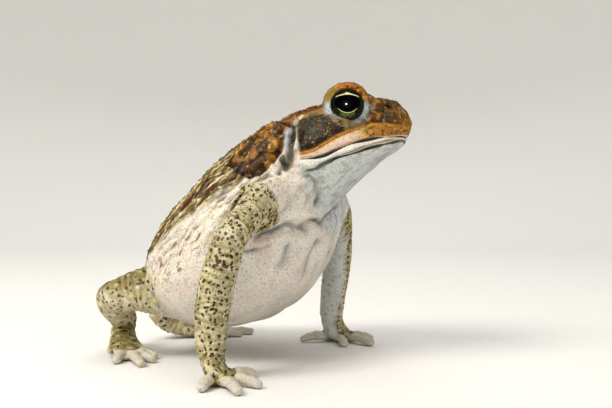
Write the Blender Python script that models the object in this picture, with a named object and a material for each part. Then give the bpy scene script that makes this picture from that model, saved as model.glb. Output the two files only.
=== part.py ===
"""A life-size cane toad, sitting up on straight front legs with its belly blown up.

The toad looks along +X with its head turned a little to its left (+Y); +Z is up.
Sizes below are in millimetres. Places on the head are in the head's own frame, which
starts between the corners of the mouth: x runs to the snout, y to the left, z up.
"""
import math

import bmesh
import bpy
import numpy as np
from mathutils import Matrix, Vector

MM = 0.001
GAP = 0.3

# The torso's rings: (x, z) on the back, (x, z) on the belly, half width.
TORSO_RINGS = (
    ((-43.5, 27.0), (-39.0, 17.0), 8.0),
    ((-45.0, 34.0), (-33.5, 12.5), 19.0),
    ((-43.0, 43.5), (-21.0, 10.5), 31.0),
    ((-36.0, 54.5), (-6.0, 12.0), 38.0),
    ((-25.0, 65.0), (7.0, 18.5), 40.5),
    ((-14.5, 75.5), (16.5, 28.0), 38.5),
    ((-4.5, 83.0), (22.5, 40.0), 34.0),
    ((5.0, 87.5), (26.0, 50.5), 29.0),
    ((13.0, 89.5), (27.5, 60.0), 25.0),
    ((20.0, 88.0), (28.5, 68.0), 20.0),
)
TORSO_TAPER = 0.10
TORSO_POWER = 2.1
TORSO_SIDES = 34
TORSO_STEPS = 23

# The head's rings: distance along the head, half width, top, bottom.
HEAD_RINGS = (
    (-14.0, 18.0, 14.0, -15.0),
    (-8.0, 22.5, 17.8, -17.0),
    (-2.0, 24.0, 19.2, -17.5),
    (4.0, 24.2, 19.6, -15.0),
    (10.0, 23.3, 19.3, -11.5),
    (16.0, 20.8, 18.8, -8.2),
    (22.0, 17.3, 18.4, -4.2),
    (27.0, 13.6, 18.3, -2.4),
    (31.0, 9.8, 17.2, -1.4),
    (33.5, 6.4, 14.6, -0.3),
    (34.8, 3.2, 11.4, 3.0),
)
HEAD_TIP = (35.2, 0.0, 7.4)
HEAD_POWER = 2.35
HEAD_SIDES = 34
HEAD_STEPS = 23
HEAD_ORIGIN = (22.3, 0.0, 73.9)
HEAD_TURN = 12.0
HEAD_LIFT = 11.5
LIP_LEVEL = 1.2
LIP_SHARE = 0.2
LIP_CENTRE = 12.0
UPPER_LIP = (2.3, 0.9, 1.3)
LOWER_LIP = (-1.1, 0.2, 1.0)

# The mouth line seen from the side, and the cut behind the jaw.
MOUTH_LINE = ((-1.5, -0.8), (3.0, -0.5), (10.0, 0.5), (18.0, 1.3), (26.0, 1.6), (33.0, 1.5), (42.0, 1.5))
JAW_BACK = (1.0, -26.0)

EYE_CENTRE = (16.2, 13.5, 14.9)
EYE_RADIUS = 6.5
EYE_AXIS = (0.24, 0.96, 0.10)
EYE_OPENING = (5.9, 5.35)
LID_THICKNESS = 1.25
ORBIT_CENTRE = (16.0, 11.8, 14.6)
ORBIT_RADII = (9.2, 7.8, 10.2)
NOSTRIL_CENTRE = (31.4, 5.6, 14.0)
NOSTRIL_RADIUS = 0.9
TYMPANUM_CENTRE = (3.2, 22.4, 10.4)
TYMPANUM_RADII = (2.3, 1.3, 3.3)

# Parotoid glands: two ends each, y outwards, then half width and half thickness.
# The turned head pushes the left one back.
PAROTOID_ENDS = {
    "right": ((16.5, 19.0, 87.0), (1.0, 30.0, 63.0)),
    "left": ((7.5, 20.0, 85.0), (-7.0, 33.0, 61.5)),
}
PAROTOID_RADII = (8.2, 4.8)

# Leg stations: x, y, z, half width, half height. y is measured outwards from the middle.
# One piece's last station is the next one's first, and both are round there.
RIGHT_ARM = (
    ("upper_arm_right", (1.0, 0.3, 0.0), (
        (15.0, 18.0, 62.5, 7.0, 8.0),
        (14.5, 28.0, 59.5, 6.6, 7.4),
        (13.0, 38.5, 53.5, 5.3, 5.7),
        (11.0, 46.5, 46.5, 5.4, 5.4),
    )),
    ("forearm_right", (1.0, 0.0, 0.0), (
        (11.0, 46.5, 46.5, 5.4, 5.4),
        (9.0, 48.6, 38.0, 5.7, 6.2),
        (7.0, 49.2, 29.0, 5.9, 6.2),
        (5.2, 48.8, 19.0, 5.7, 5.6),
        (4.9, 48.5, 11.0, 4.9, 4.9),
    )),
    ("hand_right", (0.35, 0.7, 0.0), (
        (4.9, 48.5, 11.0, 4.9, 4.9),
        (6.2, 49.5, 6.6, 5.6, 4.0),
        (8.6, 51.0, 3.8, 6.6, 3.4),
        (11.6, 53.0, 2.4, 5.6, 2.4),
    )),
)
LEFT_ARM = (
    ("upper_arm_left", (1.0, 0.3, 0.0), (
        (16.5, 17.0, 61.0, 7.0, 8.0),
        (16.5, 26.5, 57.5, 6.6, 7.4),
        (15.0, 35.5, 51.0, 5.4, 5.8),
        (13.0, 41.6, 44.5, 5.4, 5.4),
    )),
    ("forearm_left", (1.0, 0.0, 0.0), (
        (13.0, 41.6, 44.5, 5.4, 5.4),
        (12.0, 42.8, 37.0, 5.7, 6.2),
        (10.6, 43.2, 28.0, 5.8, 6.2),
        (9.4, 42.8, 19.0, 5.5, 5.6),
        (9.0, 42.3, 11.0, 4.9, 4.9),
    )),
    ("hand_left", (0.2, 1.0, 0.0), (
        (9.0, 42.3, 11.0, 4.9, 4.9),
        (9.8, 42.3, 6.6, 5.6, 4.0),
        (12.2, 41.8, 3.8, 6.6, 3.4),
        (15.0, 40.8, 2.4, 5.6, 2.4),
    )),
)
HIND_LEG = (
    ("thigh", (0.6, -0.8, 0.0), (
        (-22.0, 12.0, 22.0, 10.5, 11.0),
        (-30.0, 20.0, 25.0, 9.8, 10.4),
        (-38.0, 27.5, 25.8, 8.0, 8.2),
        (-45.5, 33.5, 24.0, 5.9, 5.9),
    )),
    ("shank", (0.3, 0.3, 0.9), (
        (-45.5, 33.5, 24.0, 5.9, 5.9),
        (-51.5, 26.5, 21.5, 6.6, 6.8),
        (-56.0, 18.5, 16.5, 5.8, 6.0),
        (-58.0, 11.5, 12.0, 4.6, 4.6),
    )),
    ("foot", (-0.8, 0.6, 0.0), (
        (-58.0, 11.5, 12.0, 4.6, 4.6),
        (-56.0, 15.5, 7.4, 4.7, 4.4),
        (-51.5, 21.0, 4.6, 5.4, 3.8),
        (-46.0, 27.0, 2.6, 7.4, 2.5),
    )),
)

# Digits: direction outwards from straight ahead in degrees, and reach from the hub.
RIGHT_HAND_HUB = (9.0, 51.5)
RIGHT_FINGERS = ((-66.0, 15.5), (4.0, 17.5), (39.0, 20.5), (80.0, 14.5))
LEFT_HAND_HUB = (12.2, 41.8)
LEFT_FINGERS = ((-140.0, 17.0), (-58.0, 17.5), (-22.0, 20.5), (16.0, 15.5))
FOOT_HUB = (-48.0, 25.0)
TOES = ((-18.0, 12.0), (4.0, 16.0), (22.0, 21.0), (39.0, 26.0), (63.0, 18.0))
DIGIT_START = 3.5
DIGIT_RADII = (2.5, 2.1, 1.9, 1.7)
DIGIT_SIDES = 8
DIGIT_STEPS = 5

LIMB_SIDES = 14
LIMB_STEPS = 7
ELLIPSOID_SIDES = 18
EYE_SIDES = 18
DRUM_SIDES = 12
CAP_ANGLES = (65.0, 35.0)


def material(name, colour, roughness):
    """A plain Principled finish."""
    finish = bpy.data.materials.new(name)
    finish.use_nodes = True
    shader = finish.node_tree.nodes["Principled BSDF"]
    shader.inputs["Base Color"].default_value = (*colour, 1.0)
    shader.inputs["Roughness"].default_value = roughness
    shader.inputs["Metallic"].default_value = 0.0
    return finish


def spline(rows, count):
    """Catmull-Rom curve through the rows, read at count even steps."""
    rows = np.asarray(rows, dtype=float)
    padded = np.vstack([2 * rows[0] - rows[1], rows, 2 * rows[-1] - rows[-2]])
    place = np.linspace(0, len(rows) - 1, count)
    index = np.minimum(place.astype(int), len(rows) - 2)
    t = (place - index)[:, None]
    a, b, c, d = (padded[index + k] for k in range(4))
    return 0.5 * (2 * b + (c - a) * t + (2 * a - 5 * b + 4 * c - d) * t**2 + (3 * b - a - 3 * c + d) * t**3)


def ring_shape(sides, power):
    """Unit superellipse: the cosine and sine of each corner, both raised to 2 / power."""
    angle = np.linspace(0, 2 * math.pi, sides, endpoint=False)
    across = np.sign(np.cos(angle)) * np.abs(np.cos(angle)) ** (2 / power)
    along = np.sign(np.sin(angle)) * np.abs(np.sin(angle)) ** (2 / power)
    return across, along


def skin_over(name, rings, first, last, collection):
    """A closed mesh object over rings of points in millimetres, with a pole at each end."""
    count, sides = rings.shape[:2]
    points = np.vstack([rings.reshape(-1, 3), [first], [last]]) * MM
    faces = []
    for ring in range(count - 1):
        for side in range(sides):
            after = (side + 1) % sides
            low = ring * sides
            faces.append((low + side, low + after, low + sides + after, low + sides + side))
    start = count * sides
    top = (count - 1) * sides
    for side in range(sides):
        after = (side + 1) % sides
        faces.append((start, after, side))
        faces.append((start + 1, top + side, top + after))
    mesh = bpy.data.meshes.new(name)
    mesh.from_pydata(points.tolist(), [], faces)
    face_outwards(mesh)
    piece = bpy.data.objects.new(name, mesh)
    collection.objects.link(piece)
    return piece


def face_outwards(mesh):
    """Turn the faces of a closed mesh outwards."""
    work = bmesh.new()
    work.from_mesh(mesh)
    bmesh.ops.recalc_face_normals(work, faces=work.faces)
    if work.calc_volume(signed=True) < 0:
        bmesh.ops.reverse_faces(work, faces=work.faces)
    work.to_mesh(mesh)
    work.free()


def ellipsoid(name, centre, radii, collection, sides=ELLIPSOID_SIDES, turn=None):
    """A sphere stretched to three radii, turned by a matrix and set at a centre."""
    mesh = bpy.data.meshes.new(name)
    work = bmesh.new()
    bmesh.ops.create_uvsphere(work, u_segments=sides, v_segments=sides // 2 + 2, radius=1.0)
    place = Matrix.Translation(Vector(centre) * MM) @ (turn or Matrix.Identity(4))
    bmesh.ops.transform(work, matrix=place @ Matrix.Diagonal((*(r * MM for r in radii), 1.0)), verts=work.verts)
    work.to_mesh(mesh)
    work.free()
    piece = bpy.data.objects.new(name, mesh)
    collection.objects.link(piece)
    return piece


def join(target, pieces, operation="UNION", solver="EXACT"):
    """Apply one Boolean between the target and the pieces, then remove the pieces."""
    group = bpy.data.collections.new("pieces")
    bpy.context.scene.collection.children.link(group)
    for piece in pieces:
        for owner in list(piece.users_collection):
            owner.objects.unlink(piece)
        group.objects.link(piece)
    modifier = target.modifiers.new("join", "BOOLEAN")
    modifier.operation = operation
    modifier.solver = solver
    modifier.operand_type = "COLLECTION"
    modifier.collection = group
    mesh = bpy.data.meshes.new_from_object(target.evaluated_get(bpy.context.evaluated_depsgraph_get()))
    target.modifiers.remove(modifier)
    target.data = mesh
    for piece in list(pieces):
        bpy.data.objects.remove(piece)
    bpy.data.collections.remove(group)
    keep_largest(target)


def keep_largest(target):
    """Keep the closed surface with the most volume and drop scraps."""
    work = bmesh.new()
    work.from_mesh(target.data)
    left = set(work.verts)
    shells = []
    while left:
        shell = set()
        edge = [left.pop()]
        while edge:
            vert = edge.pop()
            shell.add(vert)
            for link in vert.link_edges:
                other = link.other_vert(vert)
                if other in left:
                    left.discard(other)
                    edge.append(other)
        shells.append(shell)
    if len(shells) > 1:
        shells.sort(key=len)
        scraps = [vert for shell in shells[:-1] for vert in shell]
        bmesh.ops.delete(work, geom=scraps, context="VERTS")
        work.to_mesh(target.data)
    work.free()


def grown(source, collection, amount=GAP):
    """A copy of an object with every point moved out along its normal."""
    mesh = source.data.copy()
    points = np.empty(len(mesh.vertices) * 3)
    mesh.vertices.foreach_get("co", points)
    normals = np.empty(len(mesh.vertices) * 3)
    mesh.vertex_normals.foreach_get("vector", normals)
    mesh.vertices.foreach_set("co", points + normals * amount * MM)
    mesh.update()
    piece = bpy.data.objects.new("grown", mesh)
    collection.objects.link(piece)
    return piece


def clear_of(target, *neighbours, solver="EXACT"):
    """Cut the neighbours, grown by the gap, out of the target."""
    for neighbour in neighbours:
        join(target, [grown(neighbour, target.users_collection[0])], "DIFFERENCE", solver)


def cut_away(target, shape):
    """Cut a shape out of the target and keep the shape for the next cut."""
    cutter = shape.copy()
    shape.users_collection[0].objects.link(cutter)
    join(target, [cutter], "DIFFERENCE", "MANIFOLD")


def head_matrix():
    """The head's own frame in the toad's frame, in metres."""
    turn = Matrix.Rotation(math.radians(HEAD_TURN), 4, "Z")
    lift = Matrix.Rotation(math.radians(-HEAD_LIFT), 4, "Y")
    return Matrix.Translation(Vector(HEAD_ORIGIN) * MM) @ turn @ lift


def to_head(piece):
    """Carry a piece that was made in the head's frame to its place."""
    piece.data.transform(head_matrix())


def make_torso(nodes):
    """Rings from back to belly, narrower towards the back."""
    rows = [(*back, *belly, width) for back, belly, width in TORSO_RINGS]
    rows = spline(rows, TORSO_STEPS)
    across, along = ring_shape(TORSO_SIDES, TORSO_POWER)
    back = np.stack([rows[:, 0], 0 * rows[:, 0], rows[:, 1]], axis=1)
    belly = np.stack([rows[:, 2], 0 * rows[:, 0], rows[:, 3]], axis=1)
    centre = (back + belly) / 2
    rise = (back - belly) / 2
    rings = centre[:, None, :] + rise[:, None, :] * along[None, :, None]
    rings[:, :, 1] = rows[:, 4, None] * across * (1 - TORSO_TAPER * along)
    ahead = (centre[-1] - centre[-2])
    first = centre[0] - (centre[2] - centre[0]) * 0.25
    last = centre[-1] + ahead * 2.2
    return skin_over("torso", rings, first, last, nodes)


def head_solid(name, collection):
    """The whole head before the mouth is cut: boxy rings with the lips swelling out."""
    rows = spline(HEAD_RINGS, HEAD_STEPS)
    across, along = ring_shape(HEAD_SIDES, HEAD_POWER)
    step, width, top, bottom = (rows[:, k, None] for k in range(4))
    level = np.maximum(LIP_LEVEL, bottom + (top - bottom) * LIP_SHARE)
    height = np.where(along > 0, top - level, level - bottom)
    rings = np.empty((len(rows), HEAD_SIDES, 3))
    rings[:, :, 0] = step
    rings[:, :, 1] = width * across
    rings[:, :, 2] = level + height * along
    offset = rings[:, :, :2] - (LIP_CENTRE, 0.0)
    unit = offset / np.maximum(np.linalg.norm(offset, axis=2, keepdims=True), 0.1)
    for level, swell, spread in (UPPER_LIP, LOWER_LIP):
        amount = swell * np.exp(-(((rings[:, :, 2] - level) / spread) ** 2))
        rings[:, :, :2] += unit * amount[:, :, None] * (rings[:, :, :1] > -2)
    return skin_over(name, rings, (-16.0, 0.0, 0.0), HEAD_TIP, collection)


def jaw_block(collection):
    """Everything below the mouth line and ahead of the jaw's back edge, wider than the head."""
    outline = [*MOUTH_LINE, (MOUTH_LINE[-1][0], JAW_BACK[1]), JAW_BACK]
    work = bmesh.new()
    width = 40 * MM
    near = [work.verts.new((x * MM, -width, z * MM)) for x, z in outline]
    far = [work.verts.new((x * MM, width, z * MM)) for x, z in outline]
    work.faces.new(near)
    work.faces.new(far[::-1])
    for k in range(len(outline)):
        after = (k + 1) % len(outline)
        work.faces.new((near[k], far[k], far[after], near[after]))
    bmesh.ops.recalc_face_normals(work, faces=work.faces)
    mesh = bpy.data.meshes.new("jaw_block")
    work.to_mesh(mesh)
    work.free()
    piece = bpy.data.objects.new("jaw_block", mesh)
    collection.objects.link(piece)
    return piece


def eye_turn(side):
    """The rotation that lays +Z along the way an eye looks."""
    look = Vector((EYE_AXIS[0], EYE_AXIS[1] * side, EYE_AXIS[2]))
    return look.to_track_quat("Z", "Y").to_matrix().to_4x4()


def mirrored(place, side):
    """A place given for the left, on the side asked for."""
    return (place[0], place[1] * side, place[2])


def eye_window(side, collection):
    """The tapered hole between the lids, along the way the eye looks."""
    mesh = bpy.data.meshes.new("window")
    work = bmesh.new()
    depth = 2.4 * EYE_RADIUS
    bmesh.ops.create_cone(work, cap_ends=True, segments=24, radius1=1.0, radius2=1.0, depth=depth * MM)
    stretch = Matrix.Diagonal((EYE_OPENING[0] * MM, EYE_OPENING[1] * MM, 1.0, 1.0))
    slide = Matrix.Translation((0, 0, depth * MM / 2))
    centre = Matrix.Translation(Vector(mirrored(EYE_CENTRE, side)) * MM)
    bmesh.ops.transform(work, matrix=centre @ eye_turn(side) @ slide @ stretch, verts=work.verts)
    work.to_mesh(mesh)
    work.free()
    piece = bpy.data.objects.new("window", mesh)
    collection.objects.link(piece)
    return piece


def make_head(nodes, cutters):
    """Head, lower jaw, eyes and ear drums, cut from one another with the gap between them."""
    head = head_solid("head", nodes)
    swellings = []
    for side in (1, -1):
        swellings.append(ellipsoid("orbit", mirrored(ORBIT_CENTRE, side), ORBIT_RADII, cutters))
        lid = EYE_RADIUS + LID_THICKNESS
        swellings.append(ellipsoid("lid", mirrored(EYE_CENTRE, side), (lid, lid, lid), cutters))
    join(head, swellings)
    jaw = head_solid("lower_jaw", nodes)
    block = jaw_block(cutters)
    join(head, [grown(block, cutters)], "DIFFERENCE")
    join(jaw, [block], "INTERSECT")
    pieces = [head, jaw]
    for side, word in ((1, "left"), (-1, "right")):
        join(head, [eye_window(side, cutters)], "DIFFERENCE")
        ball = (EYE_RADIUS,) * 3
        eye = ellipsoid("eye_" + word, mirrored(EYE_CENTRE, side), ball, nodes, EYE_SIDES, eye_turn(side))
        drum = ellipsoid("tympanum_" + word, mirrored(TYMPANUM_CENTRE, side), TYMPANUM_RADII, nodes, DRUM_SIDES)
        nostril = (NOSTRIL_RADIUS,) * 3
        join(head, [ellipsoid("nostril", mirrored(NOSTRIL_CENTRE, side), nostril, cutters, 8)], "DIFFERENCE")
        clear_of(head, eye, drum)
        pieces += [eye, drum]
    for piece in pieces:
        to_head(piece)
    return head, jaw


def make_parotoid(side, word, nodes):
    """A long oval gland that lies on the shoulder behind the ear."""
    top, end = (Vector(mirrored(place, side)) for place in PAROTOID_ENDS[word])
    length = (end - top).normalized()
    out = Vector((-0.25, side, 0.35))
    out = (out - length * out.dot(length)).normalized()
    turn = Matrix((length, length.cross(out), out)).transposed().to_4x4()
    if turn.determinant() < 0:
        turn = turn @ Matrix.Diagonal((1, -1, 1, 1))
    radii = ((end - top).length / 2, *PAROTOID_RADII)
    return ellipsoid("parotoid_" + word, (top + end) / 2, radii, nodes, ELLIPSOID_SIDES, turn)


def limb(name, stations, side, nodes, across_way, sides=LIMB_SIDES, steps=LIMB_STEPS):
    """A tube through the stations with rounded ends, flat where it meets the floor."""
    rows = spline(stations, steps)
    path = rows[:, :3] * (1, side, 1)
    ahead = np.gradient(path, axis=0)
    ahead /= np.linalg.norm(ahead, axis=1, keepdims=True)
    guide = np.array(across_way) * (1, side, 1)
    rise = np.cross(ahead, guide)
    rise /= np.linalg.norm(rise, axis=1, keepdims=True)
    across = np.cross(rise, ahead)
    width, height = rows[:, 3], rows[:, 4]
    centres, sizes = [], []
    for angle in CAP_ANGLES:
        turn = math.radians(angle)
        centres.append(path[0] - ahead[0] * height[0] * math.sin(turn))
        sizes.append((0, math.cos(turn)))
    for k in range(len(path)):
        centres.append(path[k])
        sizes.append((k, 1.0))
    for angle in reversed(CAP_ANGLES):
        turn = math.radians(angle)
        centres.append(path[-1] + ahead[-1] * height[-1] * math.sin(turn))
        sizes.append((len(path) - 1, math.cos(turn)))
    cosine, sine = ring_shape(sides, 2.0)
    rings = []
    for centre, (k, scale) in zip(centres, sizes):
        ring = centre + (across[k] * width[k] * cosine[:, None] + rise[k] * height[k] * sine[:, None]) * scale
        rings.append(ring)
    rings = np.array(rings)
    first = path[0] - ahead[0] * height[0]
    last = path[-1] + ahead[-1] * height[-1]
    for points in (rings.reshape(-1, 3), first[None], last[None]):
        points[:, 2] = np.maximum(points[:, 2], 0.0)
    return skin_over(name, rings, first, last, nodes)


def make_digits(name, hub, digits, side, nodes, arch):
    """Tapered digits that fan out from a hub and lie on the floor."""
    made = []
    for number, (degrees, reach) in enumerate(digits, start=1):
        way = np.array((math.cos(math.radians(degrees)), math.sin(math.radians(degrees))))
        stations = []
        for part, (share, radius) in enumerate(zip((0.0, 0.35, 0.7, 1.0), DIGIT_RADII)):
            spot = np.array(hub) + way * (DIGIT_START + (reach - radius - DIGIT_START) * share)
            rise = radius * 0.82 + arch * (1 - share) * share * 4
            stations.append((*spot, rise, radius, radius * 0.9))
        across = (-way[1], way[0], 0.0)
        made.append(limb(f"{name}_{number}", stations, side, nodes, across, DIGIT_SIDES, DIGIT_STEPS))
    for k in range(len(made) - 1):
        between = math.radians((digits[k][0] + digits[k + 1][0]) / 2)
        way = Vector((-math.sin(between), math.cos(between) * side, 0.0))
        root = Vector((hub[0], hub[1] * side, 0.0))
        trim(made[k], root - way * GAP / 2, way)
        trim(made[k + 1], root + way * GAP / 2, -way)
    return made


def trim(piece, point, way):
    """Cut a closed piece off flat on the far side of a plane and close the cut."""
    work = bmesh.new()
    work.from_mesh(piece.data)
    everything = work.verts[:] + work.edges[:] + work.faces[:]
    bmesh.ops.bisect_plane(work, geom=everything, plane_co=Vector(point) * MM, plane_no=Vector(way), clear_outer=True)
    rim = [edge for edge in work.edges if edge.is_boundary]
    bmesh.ops.contextual_create(work, geom=rim)
    bmesh.ops.recalc_face_normals(work, faces=work.faces)
    work.to_mesh(piece.data)
    work.free()


def make_leg(chain, side, nodes, body_space):
    """A leg's pieces end to end, parted by a flat cut across each joint."""
    pieces = []
    for name, across, stations in chain:
        pieces.append(limb(name, stations, side, nodes, across))
    for k in range(len(chain) - 1):
        coming = spline(chain[k][2], LIMB_STEPS)[:, :3] * (1, side, 1)
        going = spline(chain[k + 1][2], LIMB_STEPS)[:, :3] * (1, side, 1)
        before = Vector(coming[-1] - coming[-2]).normalized()
        after = Vector(going[1] - going[0]).normalized()
        way = (before + after).normalized()
        joint = Vector(coming[-1])
        trim(pieces[k], joint - way * GAP / 2, way)
        trim(pieces[k + 1], joint + way * GAP / 2, -way)
    cut_away(pieces[0], body_space)
    return pieces


def make_legs(body_space, nodes):
    """Both front legs with their fingers, and both hind legs with their toes."""
    for chain, side, word, hub, fingers in (
        (RIGHT_ARM, -1, "right", RIGHT_HAND_HUB, RIGHT_FINGERS),
        (LEFT_ARM, 1, "left", LEFT_HAND_HUB, LEFT_FINGERS),
    ):
        hand = make_leg(chain, side, nodes, body_space)[-1]
        fingers = make_digits("finger_" + word, hub, fingers, side, nodes, 0.9)
        clear_of(hand, *fingers, solver="MANIFOLD")
    for side, word in ((-1, "right"), (1, "left")):
        chain = [(f"{name}_{word}", across, stations) for name, across, stations in HIND_LEG]
        foot = make_leg(chain, side, nodes, body_space)[-1]
        toes = make_digits("toe_" + word, FOOT_HUB, TOES, side, nodes, 0.6)
        clear_of(foot, *toes, solver="MANIFOLD")


def centre_on_floor(nodes):
    """Slide the whole toad so that the middle of its box is above the origin."""
    corners = []
    for piece in nodes.objects:
        points = np.empty(len(piece.data.vertices) * 3)
        piece.data.vertices.foreach_get("co", points)
        points = points.reshape(-1, 3)
        corners += [points.min(axis=0), points.max(axis=0)]
    middle = (np.min(corners, axis=0) + np.max(corners, axis=0)) / 2
    for piece in nodes.objects:
        piece.data.transform(Matrix.Translation((-middle[0], -middle[1], 0.0)))
    return middle


SKIN_COLOURS = {
    "torso": (0.62, 0.55, 0.42),
    "head": (0.42, 0.30, 0.14),
    "lower_jaw": (0.70, 0.66, 0.55),
    "eye": (0.02, 0.03, 0.02),
    "tympanum": (0.36, 0.38, 0.28),
    "parotoid": (0.40, 0.22, 0.07),
    "upper_arm": (0.55, 0.48, 0.26),
    "forearm": (0.52, 0.46, 0.24),
    "hand": (0.56, 0.50, 0.28),
    "finger": (0.66, 0.62, 0.46),
    "thigh": (0.58, 0.52, 0.36),
    "shank": (0.46, 0.40, 0.20),
    "foot": (0.44, 0.38, 0.20),
    "toe": (0.50, 0.44, 0.26),
}


def finish_nodes(nodes):
    """Give each node its own material and smooth shading."""
    for piece in nodes.objects:
        kind = next(word for word in SKIN_COLOURS if piece.name.startswith(word))
        roughness = 0.12 if kind == "eye" else 0.55
        piece.data.materials.clear()
        piece.data.materials.append(material(piece.name, SKIN_COLOURS[kind], roughness))
        piece.data.shade_smooth()


def main():
    """Build every node in its place."""
    for thing in list(bpy.data.objects):
        bpy.data.objects.remove(thing)
    nodes = bpy.data.collections.new("cane_toad")
    cutters = bpy.data.collections.new("cutters")
    bpy.context.scene.collection.children.link(nodes)
    bpy.context.scene.collection.children.link(cutters)
    torso = make_torso(nodes)
    body_space = grown(torso, cutters)
    head, jaw = make_head(nodes, cutters)
    for side, word in ((1, "left"), (-1, "right")):
        parotoid = make_parotoid(side, word, nodes)
        clear_of(torso, parotoid)
        clear_of(head, parotoid)
    make_legs(body_space, nodes)
    cut_away(head, body_space)
    cut_away(jaw, body_space)
    bpy.data.objects.remove(body_space)
    finish_nodes(nodes)
    return centre_on_floor(nodes)


if __name__ == "__main__":
    main()
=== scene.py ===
import math

import bmesh
import bpy
import numpy as np
from mathutils import Matrix, Vector
from mathutils.bvhtree import BVHTree
from mathutils.kdtree import KDTree


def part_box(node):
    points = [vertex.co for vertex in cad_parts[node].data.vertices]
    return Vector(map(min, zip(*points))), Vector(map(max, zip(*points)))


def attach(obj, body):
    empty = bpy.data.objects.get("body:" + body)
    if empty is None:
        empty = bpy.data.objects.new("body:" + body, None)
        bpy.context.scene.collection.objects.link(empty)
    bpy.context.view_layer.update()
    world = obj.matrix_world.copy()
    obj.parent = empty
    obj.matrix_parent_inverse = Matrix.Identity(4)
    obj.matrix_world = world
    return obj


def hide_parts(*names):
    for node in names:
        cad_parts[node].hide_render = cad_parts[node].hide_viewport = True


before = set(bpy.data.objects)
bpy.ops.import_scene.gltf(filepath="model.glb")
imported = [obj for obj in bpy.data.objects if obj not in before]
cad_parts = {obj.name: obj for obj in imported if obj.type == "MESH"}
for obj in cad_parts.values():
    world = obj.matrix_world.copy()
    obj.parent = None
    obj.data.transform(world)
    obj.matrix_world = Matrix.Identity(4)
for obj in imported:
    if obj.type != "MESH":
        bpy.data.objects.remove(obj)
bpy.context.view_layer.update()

MM = 0.001

# The torso
# A toad's trunk, blown up with air and raised at the front. It is one egg of skin over
# the back and the belly, and all other parts of the body grow out of it.
TORSO_RINGS = (
    ((-43.5, 27), (-39, 17), 8),
    ((-45, 34), (-33.5, 12.5), 19),
    ((-43, 43.5), (-21, 10.5), 31),
    ((-36, 54.5), (-6, 12), 38),
    ((-25, 65), (7, 18.5), 40.5),
    ((-14.5, 75.5), (16.5, 28), 38.5),
    ((-4.5, 83), (22.5, 40), 34),
    ((5, 87.5), (26, 50.5), 29),
    ((13, 89.5), (27.5, 60), 25),
    ((20, 88), (28.5, 68), 20),
)
TORSO_TAPER = 0.10
TORSO_POWER = 2.1
LOFT_STEPS, LOFT_SIDES = 90, 110
RUMP_REACH, NECK_REACH = 0.25, 2.2


def spline(rows, count):
    """Catmull-Rom curve: a cubic between each two rows whose slope at a row is half the step across it."""
    rows = np.asarray(rows, dtype=float)
    padded = np.vstack([2 * rows[0] - rows[1], rows, 2 * rows[-1] - rows[-2]])
    place = np.linspace(0, len(rows) - 1, count)
    index = np.minimum(place.astype(int), len(rows) - 2)
    t = (place - index)[:, None]
    a, b, c, d = (padded[index + k] for k in range(4))
    return 0.5 * (2 * b + (c - a) * t + (2 * a - 5 * b + 4 * c - d) * t**2 + (3 * b - a - 3 * c + d) * t**3)


def ring_shape(sides, power):
    """Superellipse: cosine and sine of each corner's angle, raised to 2 / power, signs kept."""
    angle = np.linspace(0, 2 * math.pi, sides, endpoint=False)
    across = np.sign(np.cos(angle)) * np.abs(np.cos(angle)) ** (2 / power)
    along = np.sign(np.sin(angle)) * np.abs(np.sin(angle)) ** (2 / power)
    return across, along


def closed_loft(rings, first, last):
    """Quads from each ring of points to the next, and a fan of triangles to a pole at each end."""
    count, sides = rings.shape[:2]
    points = np.vstack([rings.reshape(-1, 3), [first], [last]])
    side = np.arange(sides)
    after = (side + 1) % sides
    low = (np.arange(count - 1) * sides)[:, None]
    high = low + sides
    quads = np.stack([low + side, low + after, high + after, high + side], axis=2).reshape(-1, 4)
    pole = np.full(sides, count * sides)
    top = (count - 1) * sides
    fans = [np.stack([pole, after, side], axis=1), np.stack([pole + 1, top + side, top + after], axis=1)]
    return points, quads.tolist() + np.vstack(fans).tolist()


def torso_rows(count):
    """Ring centres, half rises from belly to back, and half widths along the trunk."""
    rows = spline([(*back, *belly, width) for back, belly, width in TORSO_RINGS], count)
    back = np.stack([rows[:, 0], 0 * rows[:, 0], rows[:, 1]], axis=1)
    belly = np.stack([rows[:, 2], 0 * rows[:, 0], rows[:, 3]], axis=1)
    return (back + belly) / 2, (back - belly) / 2, rows[:, 4]


centre, rise, width = torso_rows(LOFT_STEPS)
across, along = ring_shape(LOFT_SIDES, TORSO_POWER)
rings = centre[:, None, :] + rise[:, None, :] * along[None, :, None]
rings[:, :, 1] = width[:, None] * across * (1 - TORSO_TAPER * along)
rump = centre[0] - (centre[8] - centre[0]) * RUMP_REACH
neck = centre[-1] + (centre[-1] - centre[-5]) * NECK_REACH
forms = [closed_loft(rings, rump, neck)]

# The head
# A broad, flat skull that narrows to a blunt snout, with the eyes bulging above it. It is
# turned a little to the toad's left and lifted, so it has a frame of its own, from between
# the corners of the mouth: x to the snout, y to the toad's left, z up.
HEAD_RINGS = (
    (-14, 18, 14, -15),
    (-8, 22.5, 17.8, -17),
    (-2, 24, 19.2, -17.5),
    (4, 24.2, 19.6, -15),
    (10, 23.3, 19.3, -11.5),
    (16, 20.8, 18.8, -8.2),
    (22, 17.3, 18.4, -4.2),
    (27, 13.6, 18.3, -2.4),
    (31, 9.8, 17.2, -1.4),
    (33.5, 6.4, 14.6, -0.3),
    (34.8, 3.2, 11.4, 3),
)
HEAD_TIP = (35.2, 0, 7.4)
HEAD_POWER = 2.35
HEAD_ORIGIN = np.array((22.3, 0, 73.9))
HEAD_TURN, HEAD_LIFT = math.radians(12), math.radians(-11.5)
LIP_LEVEL, LIP_SHARE = 1.2, 0.2
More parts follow.
